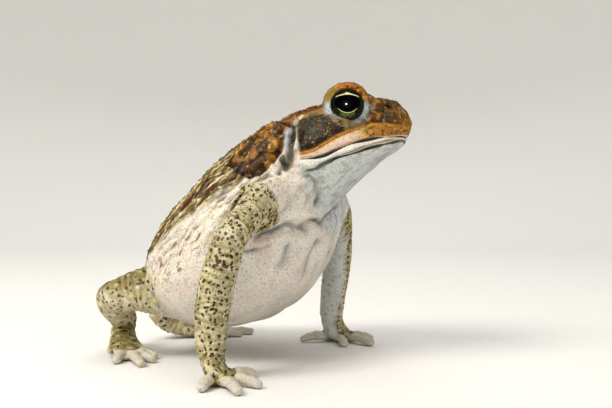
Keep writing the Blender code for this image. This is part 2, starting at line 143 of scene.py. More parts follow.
# The solid eye is at EYE_BALL. The visible one sits a little higher, level with the lids.
EYE_BALL = np.array((16.2, 13.5, 14.9))
EYE_CENTRE = EYE_BALL + (0, 0, 0.9)
EYE_RADIUS = 6.5
LID_RADIUS = 7.75
ORBIT_CENTRE, ORBIT_RADII = (16, 11.8, 14.6), (9.2, 7.8, 10.2)

head_axes = np.array(Matrix.Rotation(HEAD_TURN, 3, "Z") @ Matrix.Rotation(HEAD_LIFT, 3, "Y"))


def from_head(points):
    """Where places given in the head's frame are in the toad's."""
    return np.asarray(points) @ head_axes.T + HEAD_ORIGIN


def to_head(points):
    """Where places given in the toad's frame are in the head's."""
    return (points - HEAD_ORIGIN) @ head_axes


def ellipsoid(middle, radii, axes=np.eye(3), steps=40):
    """Circles of radius sin(v) at height cos(v), stretched by three radii along three axes."""
    v = np.linspace(0, math.pi, steps)[1:-1, None]
    u = np.linspace(0, 2 * math.pi, steps * 2, endpoint=False)
    ball = np.stack([np.sin(v) * np.cos(u), np.sin(v) * np.sin(u), np.cos(v) + 0 * u], axis=2) * radii
    pole = np.array((0, 0, radii[2]))
    return closed_loft(ball @ axes.T + middle, pole @ axes.T + middle, -pole @ axes.T + middle)


rows = spline(HEAD_RINGS, LOFT_STEPS)
across, along = ring_shape(LOFT_SIDES, HEAD_POWER)
step, width, top, bottom = (rows[:, k, None] for k in range(4))
level = np.maximum(LIP_LEVEL, bottom + (top - bottom) * LIP_SHARE)
reach = np.where(along > 0, top - level, level - bottom)
rings = np.stack([step + 0 * across, width * across, level + reach * along], axis=2)
skull, skull_faces = closed_loft(rings, (-16, 0, 0), HEAD_TIP)
forms.append((from_head(skull), skull_faces))
for side in (1, -1):
    flip = (1, side, 1)
    for place, radii in ((ORBIT_CENTRE, ORBIT_RADII), (EYE_CENTRE, (LID_RADIUS,) * 3)):
        ball, ball_faces = ellipsoid(np.array(place) * flip, radii)
        forms.append((from_head(ball), ball_faces))

# The parotoid glands
# A long oval poison gland on each shoulder, thick as a bean under the skin. The left one
# is pushed back by the turned head.
PAROTOID_ENDS = {-1: ((16.5, 19, 87), (1, 30, 63)), 1: ((7.5, 20, 85), (-7, 33, 61.5))}
PAROTOID_RADII = (8.2, 4.8)
PAROTOID_OUT = (-0.25, 1, 0.35)

glands = []
for side, ends in PAROTOID_ENDS.items():
    top, end = (np.array(place) * (1, side, 1) for place in ends)
    length = (end - top) / np.linalg.norm(end - top)
    out = np.array(PAROTOID_OUT) * (1, side, 1)
    out = out - length * (out @ length)
    out /= np.linalg.norm(out)
    axes = np.stack([length, np.cross(out, length), out], axis=1)
    radii = (np.linalg.norm(end - top) / 2, *PAROTOID_RADII)
    glands.append(((top + end) / 2, axes, radii))
    forms.append(ellipsoid((top + end) / 2, radii, axes))

# The front legs
# Straight, strong front legs hold the chest up. Each has an upper arm, a forearm, a broad
# hand and four round-tipped fingers that lie on the floor.
# Stations are x, y outwards, z, half width and half height.
RIGHT_ARM = (
    ((1, 0.3, 0), ((15, 18, 62.5, 7, 8), (14.5, 28, 59.5, 6.6, 7.4), (13, 38.5, 53.5, 5.3, 5.7),
                       (11, 46.5, 46.5, 5.4, 5.4))),
    ((1, 0, 0), ((11, 46.5, 46.5, 5.4, 5.4), (9, 48.6, 38, 5.7, 6.2), (7, 49.2, 29, 5.9, 6.2),
                       (5.2, 48.8, 19, 5.7, 5.6), (4.9, 48.5, 11, 4.9, 4.9))),
    ((0.35, 0.7, 0), ((4.9, 48.5, 11, 4.9, 4.9), (6.2, 49.5, 6.6, 5.6, 4), (8.6, 51, 3.8, 6.6, 3.4),
                        (11.6, 53, 2.4, 5.6, 2.4))),
)
LEFT_ARM = (
    ((1, 0.3, 0), ((16.5, 17, 61, 7, 8), (16.5, 26.5, 57.5, 6.6, 7.4), (15, 35.5, 51, 5.4, 5.8),
                       (13, 41.6, 44.5, 5.4, 5.4))),
    ((1, 0, 0), ((13, 41.6, 44.5, 5.4, 5.4), (12, 42.8, 37, 5.7, 6.2), (10.6, 43.2, 28, 5.8, 6.2),
                       (9.4, 42.8, 19, 5.5, 5.6), (9, 42.3, 11, 4.9, 4.9))),
    ((0.2, 1, 0), ((9, 42.3, 11, 4.9, 4.9), (9.8, 42.3, 6.6, 5.6, 4), (12.2, 41.8, 3.8, 6.6, 3.4),
                       (15, 40.8, 2.4, 5.6, 2.4))),
)
RIGHT_HAND_HUB, LEFT_HAND_HUB = (9, 51.5), (12.2, 41.8)
RIGHT_FINGERS = ((-66, 15.5), (4, 17.5), (39, 20.5), (80, 14.5))
LEFT_FINGERS = ((-140, 17), (-58, 17.5), (-22, 20.5), (16, 15.5))
DIGIT_START = 3.5
DIGIT_SHAPE = ((0, 2.6), (0.2, 2.15), (0.36, 1.85), (0.5, 2.15), (0.64, 1.75), (0.8, 1.95), (0.92, 1.7),
               (1, 1.75))


def tube(stations, side, guide, steps=44, sides=40):
    """Ellipses square to a spline through the stations, with half-round ends, all kept above the floor."""
    rows = spline(stations, steps)
    path = rows[:, :3] * (1, side, 1)
    ahead = np.gradient(path, axis=0)
    ahead /= np.linalg.norm(ahead, axis=1, keepdims=True)
    up = np.cross(ahead, np.array(guide) * (1, side, 1))
    up /= np.linalg.norm(up, axis=1, keepdims=True)
    wide = np.cross(up, ahead)
    turn = np.linspace(math.pi / 2, 0, 9)[1:-1]
    index = np.concatenate([np.zeros(len(turn), int), np.arange(steps), np.full(len(turn), steps - 1)])
    reach = np.concatenate([-np.sin(turn), np.zeros(steps), np.sin(turn[::-1])])
    scale = np.concatenate([np.cos(turn), np.ones(steps), np.cos(turn[::-1])])
    middle = path[index] + ahead[index] * (rows[index, 4] * reach)[:, None]
    cosine, sine = ring_shape(sides, 2)
    wide = wide[index] * (rows[index, 3] * scale)[:, None]
    up = up[index] * (rows[index, 4] * scale)[:, None]
    rings = middle[:, None, :] + wide[:, None, :] * cosine[:, None] + up[:, None, :] * sine[:, None]
    first = path[0] - ahead[0] * rows[0, 4]
    last = path[-1] + ahead[-1] * rows[-1, 4]
    for points in (rings, first, last):
        points[..., 2] = np.maximum(points[..., 2], 0)
    return closed_loft(rings, first, last)


def digit_stations(hub, degrees, reach, arch):
    """Stations of one digit: straight out from the hub, a low arch, knuckles and a round tip."""
    way = np.array((math.cos(math.radians(degrees)), math.sin(math.radians(degrees))))
    share, radius = np.array(DIGIT_SHAPE).T
    spot = np.array(hub) + way * (DIGIT_START + (reach - radius[-1] - DIGIT_START) * share)[:, None]
    height = radius * 0.82 + arch * (1 - share) * share * 4
    return np.column_stack([spot, height, radius, radius * 0.9]), (-way[1], way[0], 0)


limb_lines = []
digit_lines = []
for side, arm, hub, fingers in ((-1, RIGHT_ARM, RIGHT_HAND_HUB, RIGHT_FINGERS),
                                (1, LEFT_ARM, LEFT_HAND_HUB, LEFT_FINGERS)):
    for guide, stations in arm:
        forms.append(tube(stations, side, guide))
    limb_lines.append(("arm", side, np.vstack([stations for guide, stations in arm])))
    for degrees, reach in fingers:
        stations, guide = digit_stations(hub, degrees, reach, 0.9)
        forms.append(tube(stations, side, guide, 30, 24))
        digit_lines.append((side, stations))

# The hind legs
# Folded under the body: thigh out to the knee, shank back down to the heel, and a long
# foot flat on the floor with five toes and a web between them.
HIND_LEG = (
    ((0.6, -0.8, 0), ((-22, 12, 22, 10.5, 11), (-30, 20, 25, 9.8, 10.4), (-38, 27.5, 25.8, 8, 8.2),
                        (-45.5, 33.5, 24, 5.9, 5.9))),
    ((0.3, 0.3, 0.9), ((-45.5, 33.5, 24, 5.9, 5.9), (-51.5, 26.5, 21.5, 6.6, 6.8),
                       (-56, 18.5, 16.5, 5.8, 6), (-58, 11.5, 12, 4.6, 4.6))),
    ((-0.8, 0.6, 0), ((-58, 11.5, 12, 4.6, 4.6), (-56, 15.5, 7.4, 4.7, 4.4), (-51.5, 21, 4.6, 5.4, 3.8),
                        (-46, 27, 2.6, 7.4, 2.5))),
)
FOOT_HUB = (-48, 25)
TOES = ((-18, 12), (4, 16), (22, 21), (39, 26), (63, 18))
WEB_SHARE, WEB_HALF = 0.62, 0.75

for side in (-1, 1):
    for guide, stations in HIND_LEG:
        forms.append(tube(stations, side, guide))
    limb_lines.append(("leg", side, np.vstack([stations for guide, stations in HIND_LEG])))
    for degrees, reach in TOES:
        stations, guide = digit_stations(FOOT_HUB, degrees, reach, 0.6)
        forms.append(tube(stations, side, guide, 30, 24))
        digit_lines.append((side, stations))
    for (low, short), (high, long) in zip(TOES, TOES[1:]):
        middle = math.radians((low + high) / 2)
        spread = math.tan(math.radians(high - low) / 2)
        run = np.linspace(DIGIT_START, min(short, long) * WEB_SHARE, 6)
        web = np.column_stack([FOOT_HUB[0] + run * math.cos(middle), FOOT_HUB[1] + run * math.sin(middle),
                               0 * run + 1.1, run * spread, 0 * run + WEB_HALF])
        forms.append(tube(web, side, (-math.sin(middle), math.cos(middle), 0), 16, 20))

# The skin
# One soft, dry, warty skin goes over the whole toad with no seam. The forms above are
# fused by a voxel remesh, smoothed where they meet, and then worked like clay.
VOXEL = 0.46
SMOOTH_ROUNDS = 22


def as_mesh(name, points, faces):
    """A mesh from points in millimetres."""
    mesh = bpy.data.meshes.new(name)
    mesh.from_pydata((np.asarray(points) * MM).tolist(), [], faces)
    return mesh


def read(layer, key, width, kind=float):
    """One property of all elements as an array with a row for each."""
    values = np.empty(len(layer) * width, dtype=kind)
    layer.foreach_get(key, values)
    return values.reshape(-1, width) if width > 1 else values


def places(mesh):
    """The mesh's points in millimetres."""
    return read(mesh.vertices, "co", 3) / MM


def put_places(mesh, points):
    """Moves the mesh's points, in millimetres."""
    mesh.vertices.foreach_set("co", (points * MM).ravel())
    mesh.update()


def normals_of(mesh):
    """The direction straight out of the surface at each point."""
    return read(mesh.vertex_normals, "vector", 3)


def neighbour_mean(values, edges, count):
    """The mean of each point's neighbours over the edges."""
    total = np.zeros_like(values)
    for near, far in ((0, 1), (1, 0)):
        for axis in range(values.shape[1]):
            total[:, axis] += np.bincount(edges[:, near], values[edges[:, far], axis], len(values))
    return total / count[:, None]


def relax(mesh, weight, rounds):
    """Moves each point by its weight towards the mean of its neighbours, again and again."""
    edges = read(mesh.edges, "vertices", 2, np.int32)
    points = places(mesh)
    count = np.maximum(np.bincount(edges.ravel(), minlength=len(points)), 1)
    for _ in range(rounds):
        points += weight[:, None] * (neighbour_mean(points, edges, count) - points)
    put_places(mesh, points)


def ramp(values, low, high):
    """Smooth step: 0 up to low, 1 from high, and 3t² - 2t³ between."""
    t = np.clip((values - low) / (high - low), 0, 1)
    return t * t * (3 - 2 * t)


def off_line(points, path):
    """Distance from each point to the nearest piece of a path, and how far along it that is, 0 to 1."""
    best = np.full(len(points), np.inf)
    share = np.zeros(len(points))
    for index, (start, end) in enumerate(zip(path[:-1], path[1:])):
        piece = end - start
        t = np.clip((points - start) @ piece / max(piece @ piece, 1e-9), 0, 1)
        gap = np.linalg.norm(points - start - t[:, None] * piece, axis=1)
        closer = gap < best
        best[closer] = gap[closer]
        share[closer] = (index + t[closer]) / (len(path) - 1)
    return best, share


def skin_tree(mesh):
    """A search tree over the mesh, in millimetres."""
    corners = [list(face.vertices) for face in mesh.polygons]
    return BVHTree.FromPolygons(places(mesh).tolist(), corners)


def laid(line, tree, count=26):
    """A spline through the points of a line, with each place dropped onto the nearest place of the skin."""
    return np.array([tree.find_nearest(Vector(place))[0] for place in spline(line, count)])


def stroke(points, path, width, fade=0.2):
    """A soft line: 1 on it, falling off as exp(-(distance / width)²), and thinning out at both ends."""
    near = np.all((points > path.min(axis=0) - 3 * width) & (points < path.max(axis=0) + 3 * width), axis=1)
    amount = np.zeros(len(points))
    gap, share = off_line(points[near], path)
    amount[near] = bell(gap, width) * ramp(np.minimum(share, 1 - share), -0.01, fade)
    return amount


def wave_noise(points, size, seed):
    """A smooth random field from -1 to 1: eight sine waves about size long, in random directions."""
    draw = np.random.default_rng(seed)
    ways = draw.normal(size=(8, 3))
    ways /= np.linalg.norm(ways, axis=1, keepdims=True)
    phase = draw.uniform(0, 2 * math.pi, 8)
    turns = points @ ways.T * (2 * math.pi / size) * draw.uniform(0.6, 1.3, 8)
    return np.sin(turns + phase).sum(axis=1) / 3.2


def wobbled(points, size, amount):
    """The points moved by wave noise, so that straight lines laid on them come out wavy."""
    return points + amount * np.stack([wave_noise(points, size, seed) for seed in (31, 32, 33)], axis=1)


def blob(points, middle, radii):
    """A soft spot: exp(-r²) with r measured in the three radii."""
    return np.exp(-np.sum(((points - np.array(middle)) / radii) ** 2, axis=1))


def bell(values, width):
    """1 where the value is 0, falling off to both sides as exp(-(value / width)²)."""
    return np.exp(-((values / width) ** 2))


def face_out(mesh):
    """Turns all faces of a closed mesh outwards."""
    work = bmesh.new()
    work.from_mesh(mesh)
    bmesh.ops.recalc_face_normals(work, faces=work.faces)
    work.to_mesh(mesh)
    work.free()


def on_digits(points, low, high, start, end):
    """1 close to a finger or toe and 0 from high on, and growing along it from start to end."""
    amount = np.zeros(len(points))
    for side, stations in digit_lines:
        gap, share = off_line(points, spline(stations[:, :3] * (1, side, 1), 24))
        amount = np.maximum(amount, (1 - ramp(gap, low, high)) * ramp(share, start, end))
    return amount


all_points = []
all_faces = []
start = 0
for points, faces in forms:
    all_points.append(points)
    all_faces += [[corner + start for corner in face] for face in faces]
    start += len(points)
rough = as_mesh("rough", np.vstack(all_points), all_faces)
face_out(rough)
clay = bpy.data.objects.new("clay", rough)
bpy.context.scene.collection.objects.link(clay)
fuse = clay.modifiers.new("fuse", "REMESH")
fuse.mode = "VOXEL"
fuse.voxel_size = VOXEL * MM
fuse.adaptivity = 0
skin_mesh = bpy.data.meshes.new_from_object(clay.evaluated_get(bpy.context.evaluated_depsgraph_get()))
bpy.data.objects.remove(clay)

thin = on_digits(places(skin_mesh), 2.4, 4.5, -2, -1)
relax(skin_mesh, 0.5 * (1 - 0.75 * thin), SMOOTH_ROUNDS)


def refine(mesh, chosen):
    """Cuts the faces whose corners are all chosen points in four."""
    work = bmesh.new()
    work.from_mesh(mesh)
    work.verts.ensure_lookup_table()
    keep = set(np.flatnonzero(chosen).tolist())
    cut = [edge for edge in work.edges if edge.verts[0].index in keep and edge.verts[1].index in keep]
    bmesh.ops.subdivide_edges(work, edges=cut, cuts=1, use_grid_fill=True)
    work.to_mesh(mesh)
    work.free()


def mirrored_head(points):
    """Places in the head's frame with both sides folded onto the left one."""
    folded = to_head(points)
    folded[:, 1] = np.abs(folded[:, 1])
    return folded


# The mouth and the folds of the head
# The lips are soft pads over the jaw bones. The upper one has an orange ridge along its
# top, and a groove runs under the lower one. Each height is a curve along the head.
MOUTH_LINE = ((-6, -0.2), (-1, -0.2), (3, -0.7), (7, -0.6), (11, 0.4), (17, 1.7), (24, 2.2), (30, 1.9),
              (34, 1.4))
LIP_RIDGE = ((-6, 1.6), (0, 1.7), (3.5, 1.8), (7.5, 3.1), (12, 4.8), (16, 5.8), (20, 6.6), (24.5, 6.9),
             (28, 5.9), (32, 4.8), (35, 4.2))
CHIN_LINE = ((-6, -4.6), (2, -4.6), (5, -3.8), (8, -3), (11, -2.1), (14, -1.8), (17, -1.4), (23, -0.6),
             (28.5, 0), (35, -0.2))
# Folds and ridges: line in the folded head frame, width, height (a fold is negative).
HEAD_FOLDS = (
    (((21.5, 11.4, 17.6), (25.2, 9.2, 16.9), (28, 8.9, 15.7), (30.6, 7.9, 15)), 1, 0.7),
    (((23.6, 12.6, 12.6), (27, 11, 11.8), (29.4, 9.4, 11.2)), 1.5, -1.1),
    (((22.6, 15.2, 8.8), (26, 12.8, 9.3), (29.5, 10, 9.8), (31.6, 8.2, 10.8)), 0.8, 0.55),
    (((9, 0, 19.6), (15, 0, 19.2), (24, 0, 18.6)), 4.2, -1.1),
    (((26, 0, 18.4), (30, 0, 17.6), (32, 3, 16.2)), 3, -0.5),
    (((8.6, 17, 18), (5, 19.2, 16.8), (1.4, 19, 16), (-1.5, 17.5, 16.4)), 1, 0.8),
    (((1, 18.2, 15.2), (-1.8, 19.8, 13.4), (-2.8, 21.8, 9.9), (-3.9, 23, 6.4), (-5.1, 23.6, 3),
      (-6.3, 24.3, -0.5), (-8.3, 25.6, -2.8)), 0.95, -1.7),
    (((-0.2, 21.4, 11.6), (-1, 22.6, 8.6), (-1.8, 23.6, 4.6), (-3.2, 24, 0.5)), 0.6, 0.6),
    (((0.9, 22.6, 11), (0.3, 23.4, 7.6), (-0.6, 23.8, 3)), 0.5, -0.6),
    (((2.4, 23, 7.2), (1.6, 23.6, 4.6), (0.6, 23.9, 2.6)), 0.5, 0.4),
    (((-3.9, 20.6, 12.2), (-4.8, 22.2, 9), (-5.8, 23.2, 6), (-7, 24.2, 2)), 1.3, 0.9),
    (((-6.6, 21.5, 10), (-7.6, 23.2, 6.5), (-8.6, 24.6, 2.5)), 0.9, -0.6),
    (((-6.8, 24.4, 1.5), (-8.6, 25.6, -2.2), (-9.5, 26, -4.8)), 1.2, -1.4),
    (((-0.5, 23.6, -1.6), (-0.8, 23.4, -4.5), (0.6, 21.9, -7.8), (0.6, 19.5, -10.7), (-0.6, 14.6, -14.5),
      (-2.8, 12.9, -18.4)), 1.7, -1),
    (((-3.6, 24.2, -2), (-3.8, 24, -5.5), (-3, 22.6, -9)), 1.6, 0.6),
)
CROWN_CREST = (((8.5, 8.6, 20.8), (4, 11, 20.2), (-1, 12.6, 19)), 1.3, 0.6)
DRUM_CENTRE, DRUM_RADII = np.array((3.6, 23.2, 10.9)), (2.3, 3.4)
NOSTRIL = (30.4, 7.6, 13.2)
EYE_OPENING = (6.05, 6)
EYE_AXIS = np.array((0.24, 0.97, 0.03)) / np.linalg.norm((0.24, 0.97, 0.03))
EYE_PIT = 5.5

# The pupil lies level, so its up is the toad's own, square to the eye's axis.
eye_up = head_axes[2] - EYE_AXIS * (head_axes[2] @ EYE_AXIS)
eye_up /= np.linalg.norm(eye_up)
eye_ahead = np.cross(EYE_AXIS, eye_up)


def eye_view(head):
    """How far up round the eye a point is, from -1 to 1, and its angle off the axis over the opening's."""
    off = head - EYE_CENTRE
    ahead, up, out = off @ eye_ahead, off @ eye_up, off @ EYE_AXIS
    aside = np.maximum(np.hypot(ahead, up), 1e-6)
    wide, tall = (math.asin(half / EYE_RADIUS) for half in EYE_OPENING)
    return up / aside, np.arctan2(aside, out) * np.hypot(ahead / wide, up / tall) / aside


def curve_at(x, line):
    """A height read off a curve along the head, with straight runs between its points."""
    line = spline(line, 60)
    return np.interp(x, line[:, 0], line[:, 1])


def lip_view(head, normals):
    """Heights of mouth, ridge and chin line beside each point, and how much of a lip is there."""
    x = head[:, 0]
    slope = normals @ head_axes[:, 2]
    share = ramp(x, -2.6, 0.6) * ramp(slope, -0.93, -0.55) * (1 - ramp(slope, 0.6, 0.9))
    return curve_at(x, MOUTH_LINE), curve_at(x, LIP_RIDGE), curve_at(x, CHIN_LINE), share


def drum_view(head):
    """Distance from the ear drum's middle, 1 at its rim, and whether a point is out on the drum's side."""
    along, up = ((head[:, axis] - DRUM_CENTRE[axis]) / radius for axis, radius in zip((0, 2), DRUM_RADII))
    return np.hypot(along, up), head[:, 1] > 17


head = mirrored_head(places(skin_mesh))
height, edge = eye_view(head)
by_eye = (edge < 1.6) & (np.linalg.norm(head - EYE_CENTRE, axis=1) < 10)
mouth, ridge, chin, share = lip_view(head, normals_of(skin_mesh))
by_lips = (share > 0.05) & (head[:, 2] > chin - 1.2) & (head[:, 2] < ridge + 1.6)
refine(skin_mesh, by_eye | by_lips & (head[:, 0] < 36)
       | (np.linalg.norm(head - DRUM_CENTRE, axis=1) < 6.5))

points = places(skin_mesh)
normals = normals_of(skin_mesh)
head = mirrored_head(points)
tree = skin_tree(skin_mesh)
wavy = wobbled(points, 6, 0.35)
push = np.zeros(len(points))
for line, width, height in (*HEAD_FOLDS, CROWN_CREST):
    for side in (1, -1):
        push += height * stroke(wavy, laid(from_head(np.array(line) * (1, side, 1)), tree), width)
mouth, ridge, chin, share = lip_view(head, normals)
z = head[:, 2]
pad = (mouth + ridge) / 2
lower = (mouth + chin) / 2
tip = ramp(head[:, 0], 26, 33)
push += share * ((0.75 - 0.7 * tip) * bell(z - pad, 0.5 * (ridge - mouth) + 0.2)
                 + 0.55 * (1 - tip) * bell(z - ridge, 0.8)
                 - 0.55 * (1 - tip) * bell(z - ridge - 1.7, 0.8)
                 - (1.25 - 0.3 * tip) * bell(z - mouth, 0.28)
                 + (0.6 - 0.7 * tip) * bell(z - lower, 0.42 * (mouth - chin) + 0.2)
                 - 0.75 * (1 - 0.4 * tip) * bell(z - chin, 0.48))
push += tip * (0.8 * bell(z - 9.5, 3) + bell(z - 6, 2.4) - 0.5 * bell(z - 13.2, 1.6) - bell(z - 0.5, 3))
across_drum, on_drum = drum_view(head)
push -= on_drum * (0.12 * bell(across_drum - 0.95, 0.2) + 0.4 * (1 - ramp(across_drum, 0.2, 1.2)))
push -= 2.2 * blob(head, NOSTRIL, (1.1, 1.1, 0.8))
push += 0.35 * blob(head, np.array(NOSTRIL) + (-0.6, 0.2, 1.2), (1.3, 1.3, 0.8))
push += 0.14 * wave_noise(points, 3.1, 21) * ramp(head[:, 0], 18, 24) * ramp(z - ridge, 0, 2)
points += normals * push[:, None]

# The eyelids
# A thick upper lid hoods the eye like a brow, and a thin, wet lower lid rings it. The skin
# dives under the ball inside the opening, so the lids have a round margin.
for side in (1, -1):
    head = to_head(points)
    head[:, 1] *= side
    height, edge = eye_view(head)
    off = head - EYE_CENTRE
    reach = np.linalg.norm(off, axis=1)
    near = (edge < 1.75) & (reach < 12)
    upper = ramp(height, -0.1, 0.45)
    lid = EYE_RADIUS + 0.2 + (0.5 + 0.9 * upper) * ramp(edge, 0.99, 1.16 - 0.05 * upper)
    lid += upper * 0.35 * bell(edge - 1.24, 0.08)
    lid -= 0.3 * bell(edge - 1.25 - 0.13 * upper, 0.045)
    inside = 1 - ramp(edge, 0.95, 1)
    wanted = lid + (EYE_PIT - lid) * inside
    blend = (1 - ramp(edge, 1.3, 1.62)) * (1 - ramp(reach, 8.6, 10.5)) * near
    scale = 1 + (wanted / np.maximum(reach, 1) - 1) * blend
    head = EYE_CENTRE + off * scale[:, None]
    head[:, 1] *= side
    points[near] = from_head(head[near])
put_places(skin_mesh, points)

# The folds of the body
# Loose skin hangs in deep creases across the chest and down the belly, and lies in slanting
# ridges on the flanks. Lines are in the toad's frame: line, width, height.
BODY_FOLDS = (
    (((11.5, -35, 44), (14.5, -32.6, 46.6), (17.6, -29.2, 48.6), (20.8, -24.2, 49.5), (23.5, -18, 49.9),
      (25.6, -10.2, 51.3), (26.6, 1, 53.2), (26.6, 9.4, 56.5), (26.4, 13.7, 61.4)), 2.2, -2.2),
    (((13, -34.5, 41), (17.5, -29.5, 44.6), (21, -23, 45.6), (23.5, -16, 46), (25.4, -8, 47.6),
      (26.2, 2, 49.8), (25.5, 11, 53)), 2.6, 1.1),
    (((18, -28, 53), (22, -21.5, 53.8), (25, -14, 54.6), (26.6, -5, 56), (27, 3, 58.5)), 2.6, 1),
    (((7.5, -39.5, 41), (12, -35, 42.6), (15.5, -31.5, 42.8), (19, -27, 43.4)), 1.2, -0.8),
    (((10, -36.5, 38.5), (14, -33, 39.5), (17, -29.5, 40)), 1.6, 0.6),
    (((23.2, -18.5, 47.5), (21.3, -21.4, 44.4), (20, -22, 39.6), (15, -22, 30)), 3, -1),
    (((24.6, -4, 46.8), (22.9, -5.6, 42.4), (20.9, -5.7, 37.4), (15, -4.8, 27)), 3, -1),
    (((24, -12, 45), (21.8, -13.4, 39.5), (18.6, -13.6, 33.5)), 2.6, 0.9),
    (((25.8, 7, 51.5), (24.2, 10.5, 46.5), (21.6, 13.6, 41), (18, 16.5, 35.5)), 2.8, -1.1),
    (((24.6, 3.2, 44.5), (21.4, 4.6, 37.5), (17.6, 5.6, 31.5)), 2.4, 0.8),
    (((22, 16, 41), (24.6, 15, 47.5), (25.2, 15.8, 53)), 1.8, 0.9),
    (((14.5, -31, 67.5), (8.5, -34.4, 61.5), (2.8, -37.6, 54.5), (-1.5, -39.4, 47.5), (-5, -40, 41)),
     1.9, 1.1),
    (((12, -33.6, 61.5), (6.6, -36.4, 55), (2.4, -38.6, 49)), 1.1, -0.8),
    (((16, -27.5, 70.5), (13.5, -30.4, 66), (10, -33.2, 62.6)), 0.9, -0.7),
    (((26.4, -23.6, 66.6), (26.6, -21.4, 62), (25.6, -18, 57.6)), 1.9, 0.7),
    (((9.2, -31.5, 63.5), (10.4, -35.2, 58.6), (9.6, -37, 53.5), (8, -38.5, 48.5)), 1, -1),
    (((-38, -15, 18.5), (-40.5, -21.5, 27.5), (-39.5, -25, 35)), 1.4, -1),
)
FLANK_WAY = np.array((-0.62, -0.18, -0.62))
FLANK_PITCH = 3.3
# The hollow left between throat and shoulder is filled here.
THROAT_HOLLOW = (24.6, -22.5, 64.9)


def height_on_trunk(points):
    """-1 at the belly's middle line and 1 at the back's, measured on the nearest ring of the trunk."""
    centre, rise, width = torso_rows(60)
    gap, share = off_line(points * (1, 0, 1), centre)
    index = np.clip((share * 59).astype(int), 0, 59)
    return np.sum((points - centre[index]) * rise[index], axis=1) / np.sum(rise[index] ** 2, axis=1), share


points = places(skin_mesh)
normals = normals_of(skin_mesh)
tree = skin_tree(skin_mesh)
wavy = wobbled(points, 9, 0.7)
push = np.zeros(len(points))
for line, width, height in BODY_FOLDS:
    push += height * stroke(wavy, laid(line, tree), width)
push += 1.3 * blob(points, THROAT_HOLLOW, (2.4, 2.4, 2.4))
trunk, trunk_share = height_on_trunk(points)
flank_up = np.cross(FLANK_WAY / np.linalg.norm(FLANK_WAY), (0, -1, 0))
flank = bell(trunk - 0.28, 0.26) * ramp(trunk_share, 0.2, 0.4) * (1 - ramp(trunk_share, 0.8, 0.92))
flank *= ramp(np.abs(points[:, 1]), 22, 30) * (1 - ramp(np.abs(points[:, 1]), 41.5, 43))
folded = points * (1, 0, 1)
wave = folded @ flank_up + 0.9 * wave_noise(points, 16, 3)
push += 0.45 * flank * np.sin(wave * 2 * math.pi / FLANK_PITCH) * (0.6 + 0.4 * wave_noise(points, 22, 4))
push += 0.35 * wave_noise(points, 13, 5) * ramp(trunk_share, 0.05, 0.3) * (np.abs(points[:, 1]) < 42)

# The skin of the legs
# Rings of loose skin cross the arms and the hind legs. They are a little wavy, and deeper in
# some places than in others.
ARM_PITCH, LEG_PITCH = 2.1, 2.6


def limb_view(points, kind):
    """Distance from the nearest limb of a kind over its own radius, and the run along it in mm."""
    gap = np.full(len(points), np.inf)
    run = np.zeros(len(points))
    for name, side, stations in limb_lines:
        if name != kind:
            continue
        rows = spline(stations, 50)
        path = rows[:, :3] * (1, side, 1)
        length = np.concatenate([[0], np.cumsum(np.linalg.norm(np.diff(path, axis=0), axis=1))])
        away, share = off_line(points, path)
        own = away / np.interp(share, np.linspace(0, 1, 50), (rows[:, 3] + rows[:, 4]) / 2)
        closer = own < gap
        gap[closer] = own[closer]
        run[closer] = np.interp(share, np.linspace(0, 1, 50), length)[closer]
    return gap, run


arm_gap, arm_run = limb_view(points, "arm")
on_arm = (1 - ramp(arm_gap, 1.15, 1.45)) * ramp(arm_run, 9, 15)
swell = wave_noise(points, 9, 6)
push += on_arm * 0.19 * np.sin((arm_run + 0.7 * swell) * 2 * math.pi / ARM_PITCH) * (0.65 + 0.5 * swell)
leg_gap, leg_run = limb_view(points, "leg")
on_leg = (1 - ramp(leg_gap, 1.15, 1.45)) * ramp(leg_run, 14, 20)
push += on_leg * 0.18 * np.sin((leg_run + 0.9 * swell) * 2 * math.pi / LEG_PITCH)
points += normals * push[:, None]

# The warts
# Hard little domes of many sizes: large on the back and glands, small on the brow, the legs
# and the flanks, and none on the belly, which is only granular.
WART_SEED = 11


def scatter(points, weight, spacing, tries, seed):
    """Random points of the surface, likelier where the weight is high, and at least a spacing apart."""
    draw = np.random.default_rng(seed)
    order = draw.choice(len(points), tries, p=weight / weight.sum())
    kept = []
    cells = {}
    for index in order.tolist():
        place = points[index]
        cell = tuple((place // spacing).astype(int))
        around = [cells.get((cell[0] + i, cell[1] + j, cell[2] + k), ())
                  for i in (-1, 0, 1) for j in (-1, 0, 1) for k in (-1, 0, 1)]
        if all(np.linalg.norm(place - other) >= spacing for group in around for other in group):
            kept.append(index)
            cells.setdefault(cell, []).append(place)
    return np.array(kept), draw


def domes(points, middles, radii):
    """Height of the domes over each point: the square of 1 - (distance / radius)², the highest wins."""
    tree = KDTree(len(points))
    for index, place in enumerate(points.tolist()):
        tree.insert(place, index)
    tree.balance()
    height = np.zeros(len(points))
    for middle, radius in zip(middles.tolist(), radii.tolist()):
        found = tree.find_range(middle, radius)
        if found:
            index = np.array([hit[1] for hit in found])
            away = np.array([hit[2] for hit in found]) / radius
            height[index] = np.maximum(height[index], (1 - away**2) ** 2)
    return height


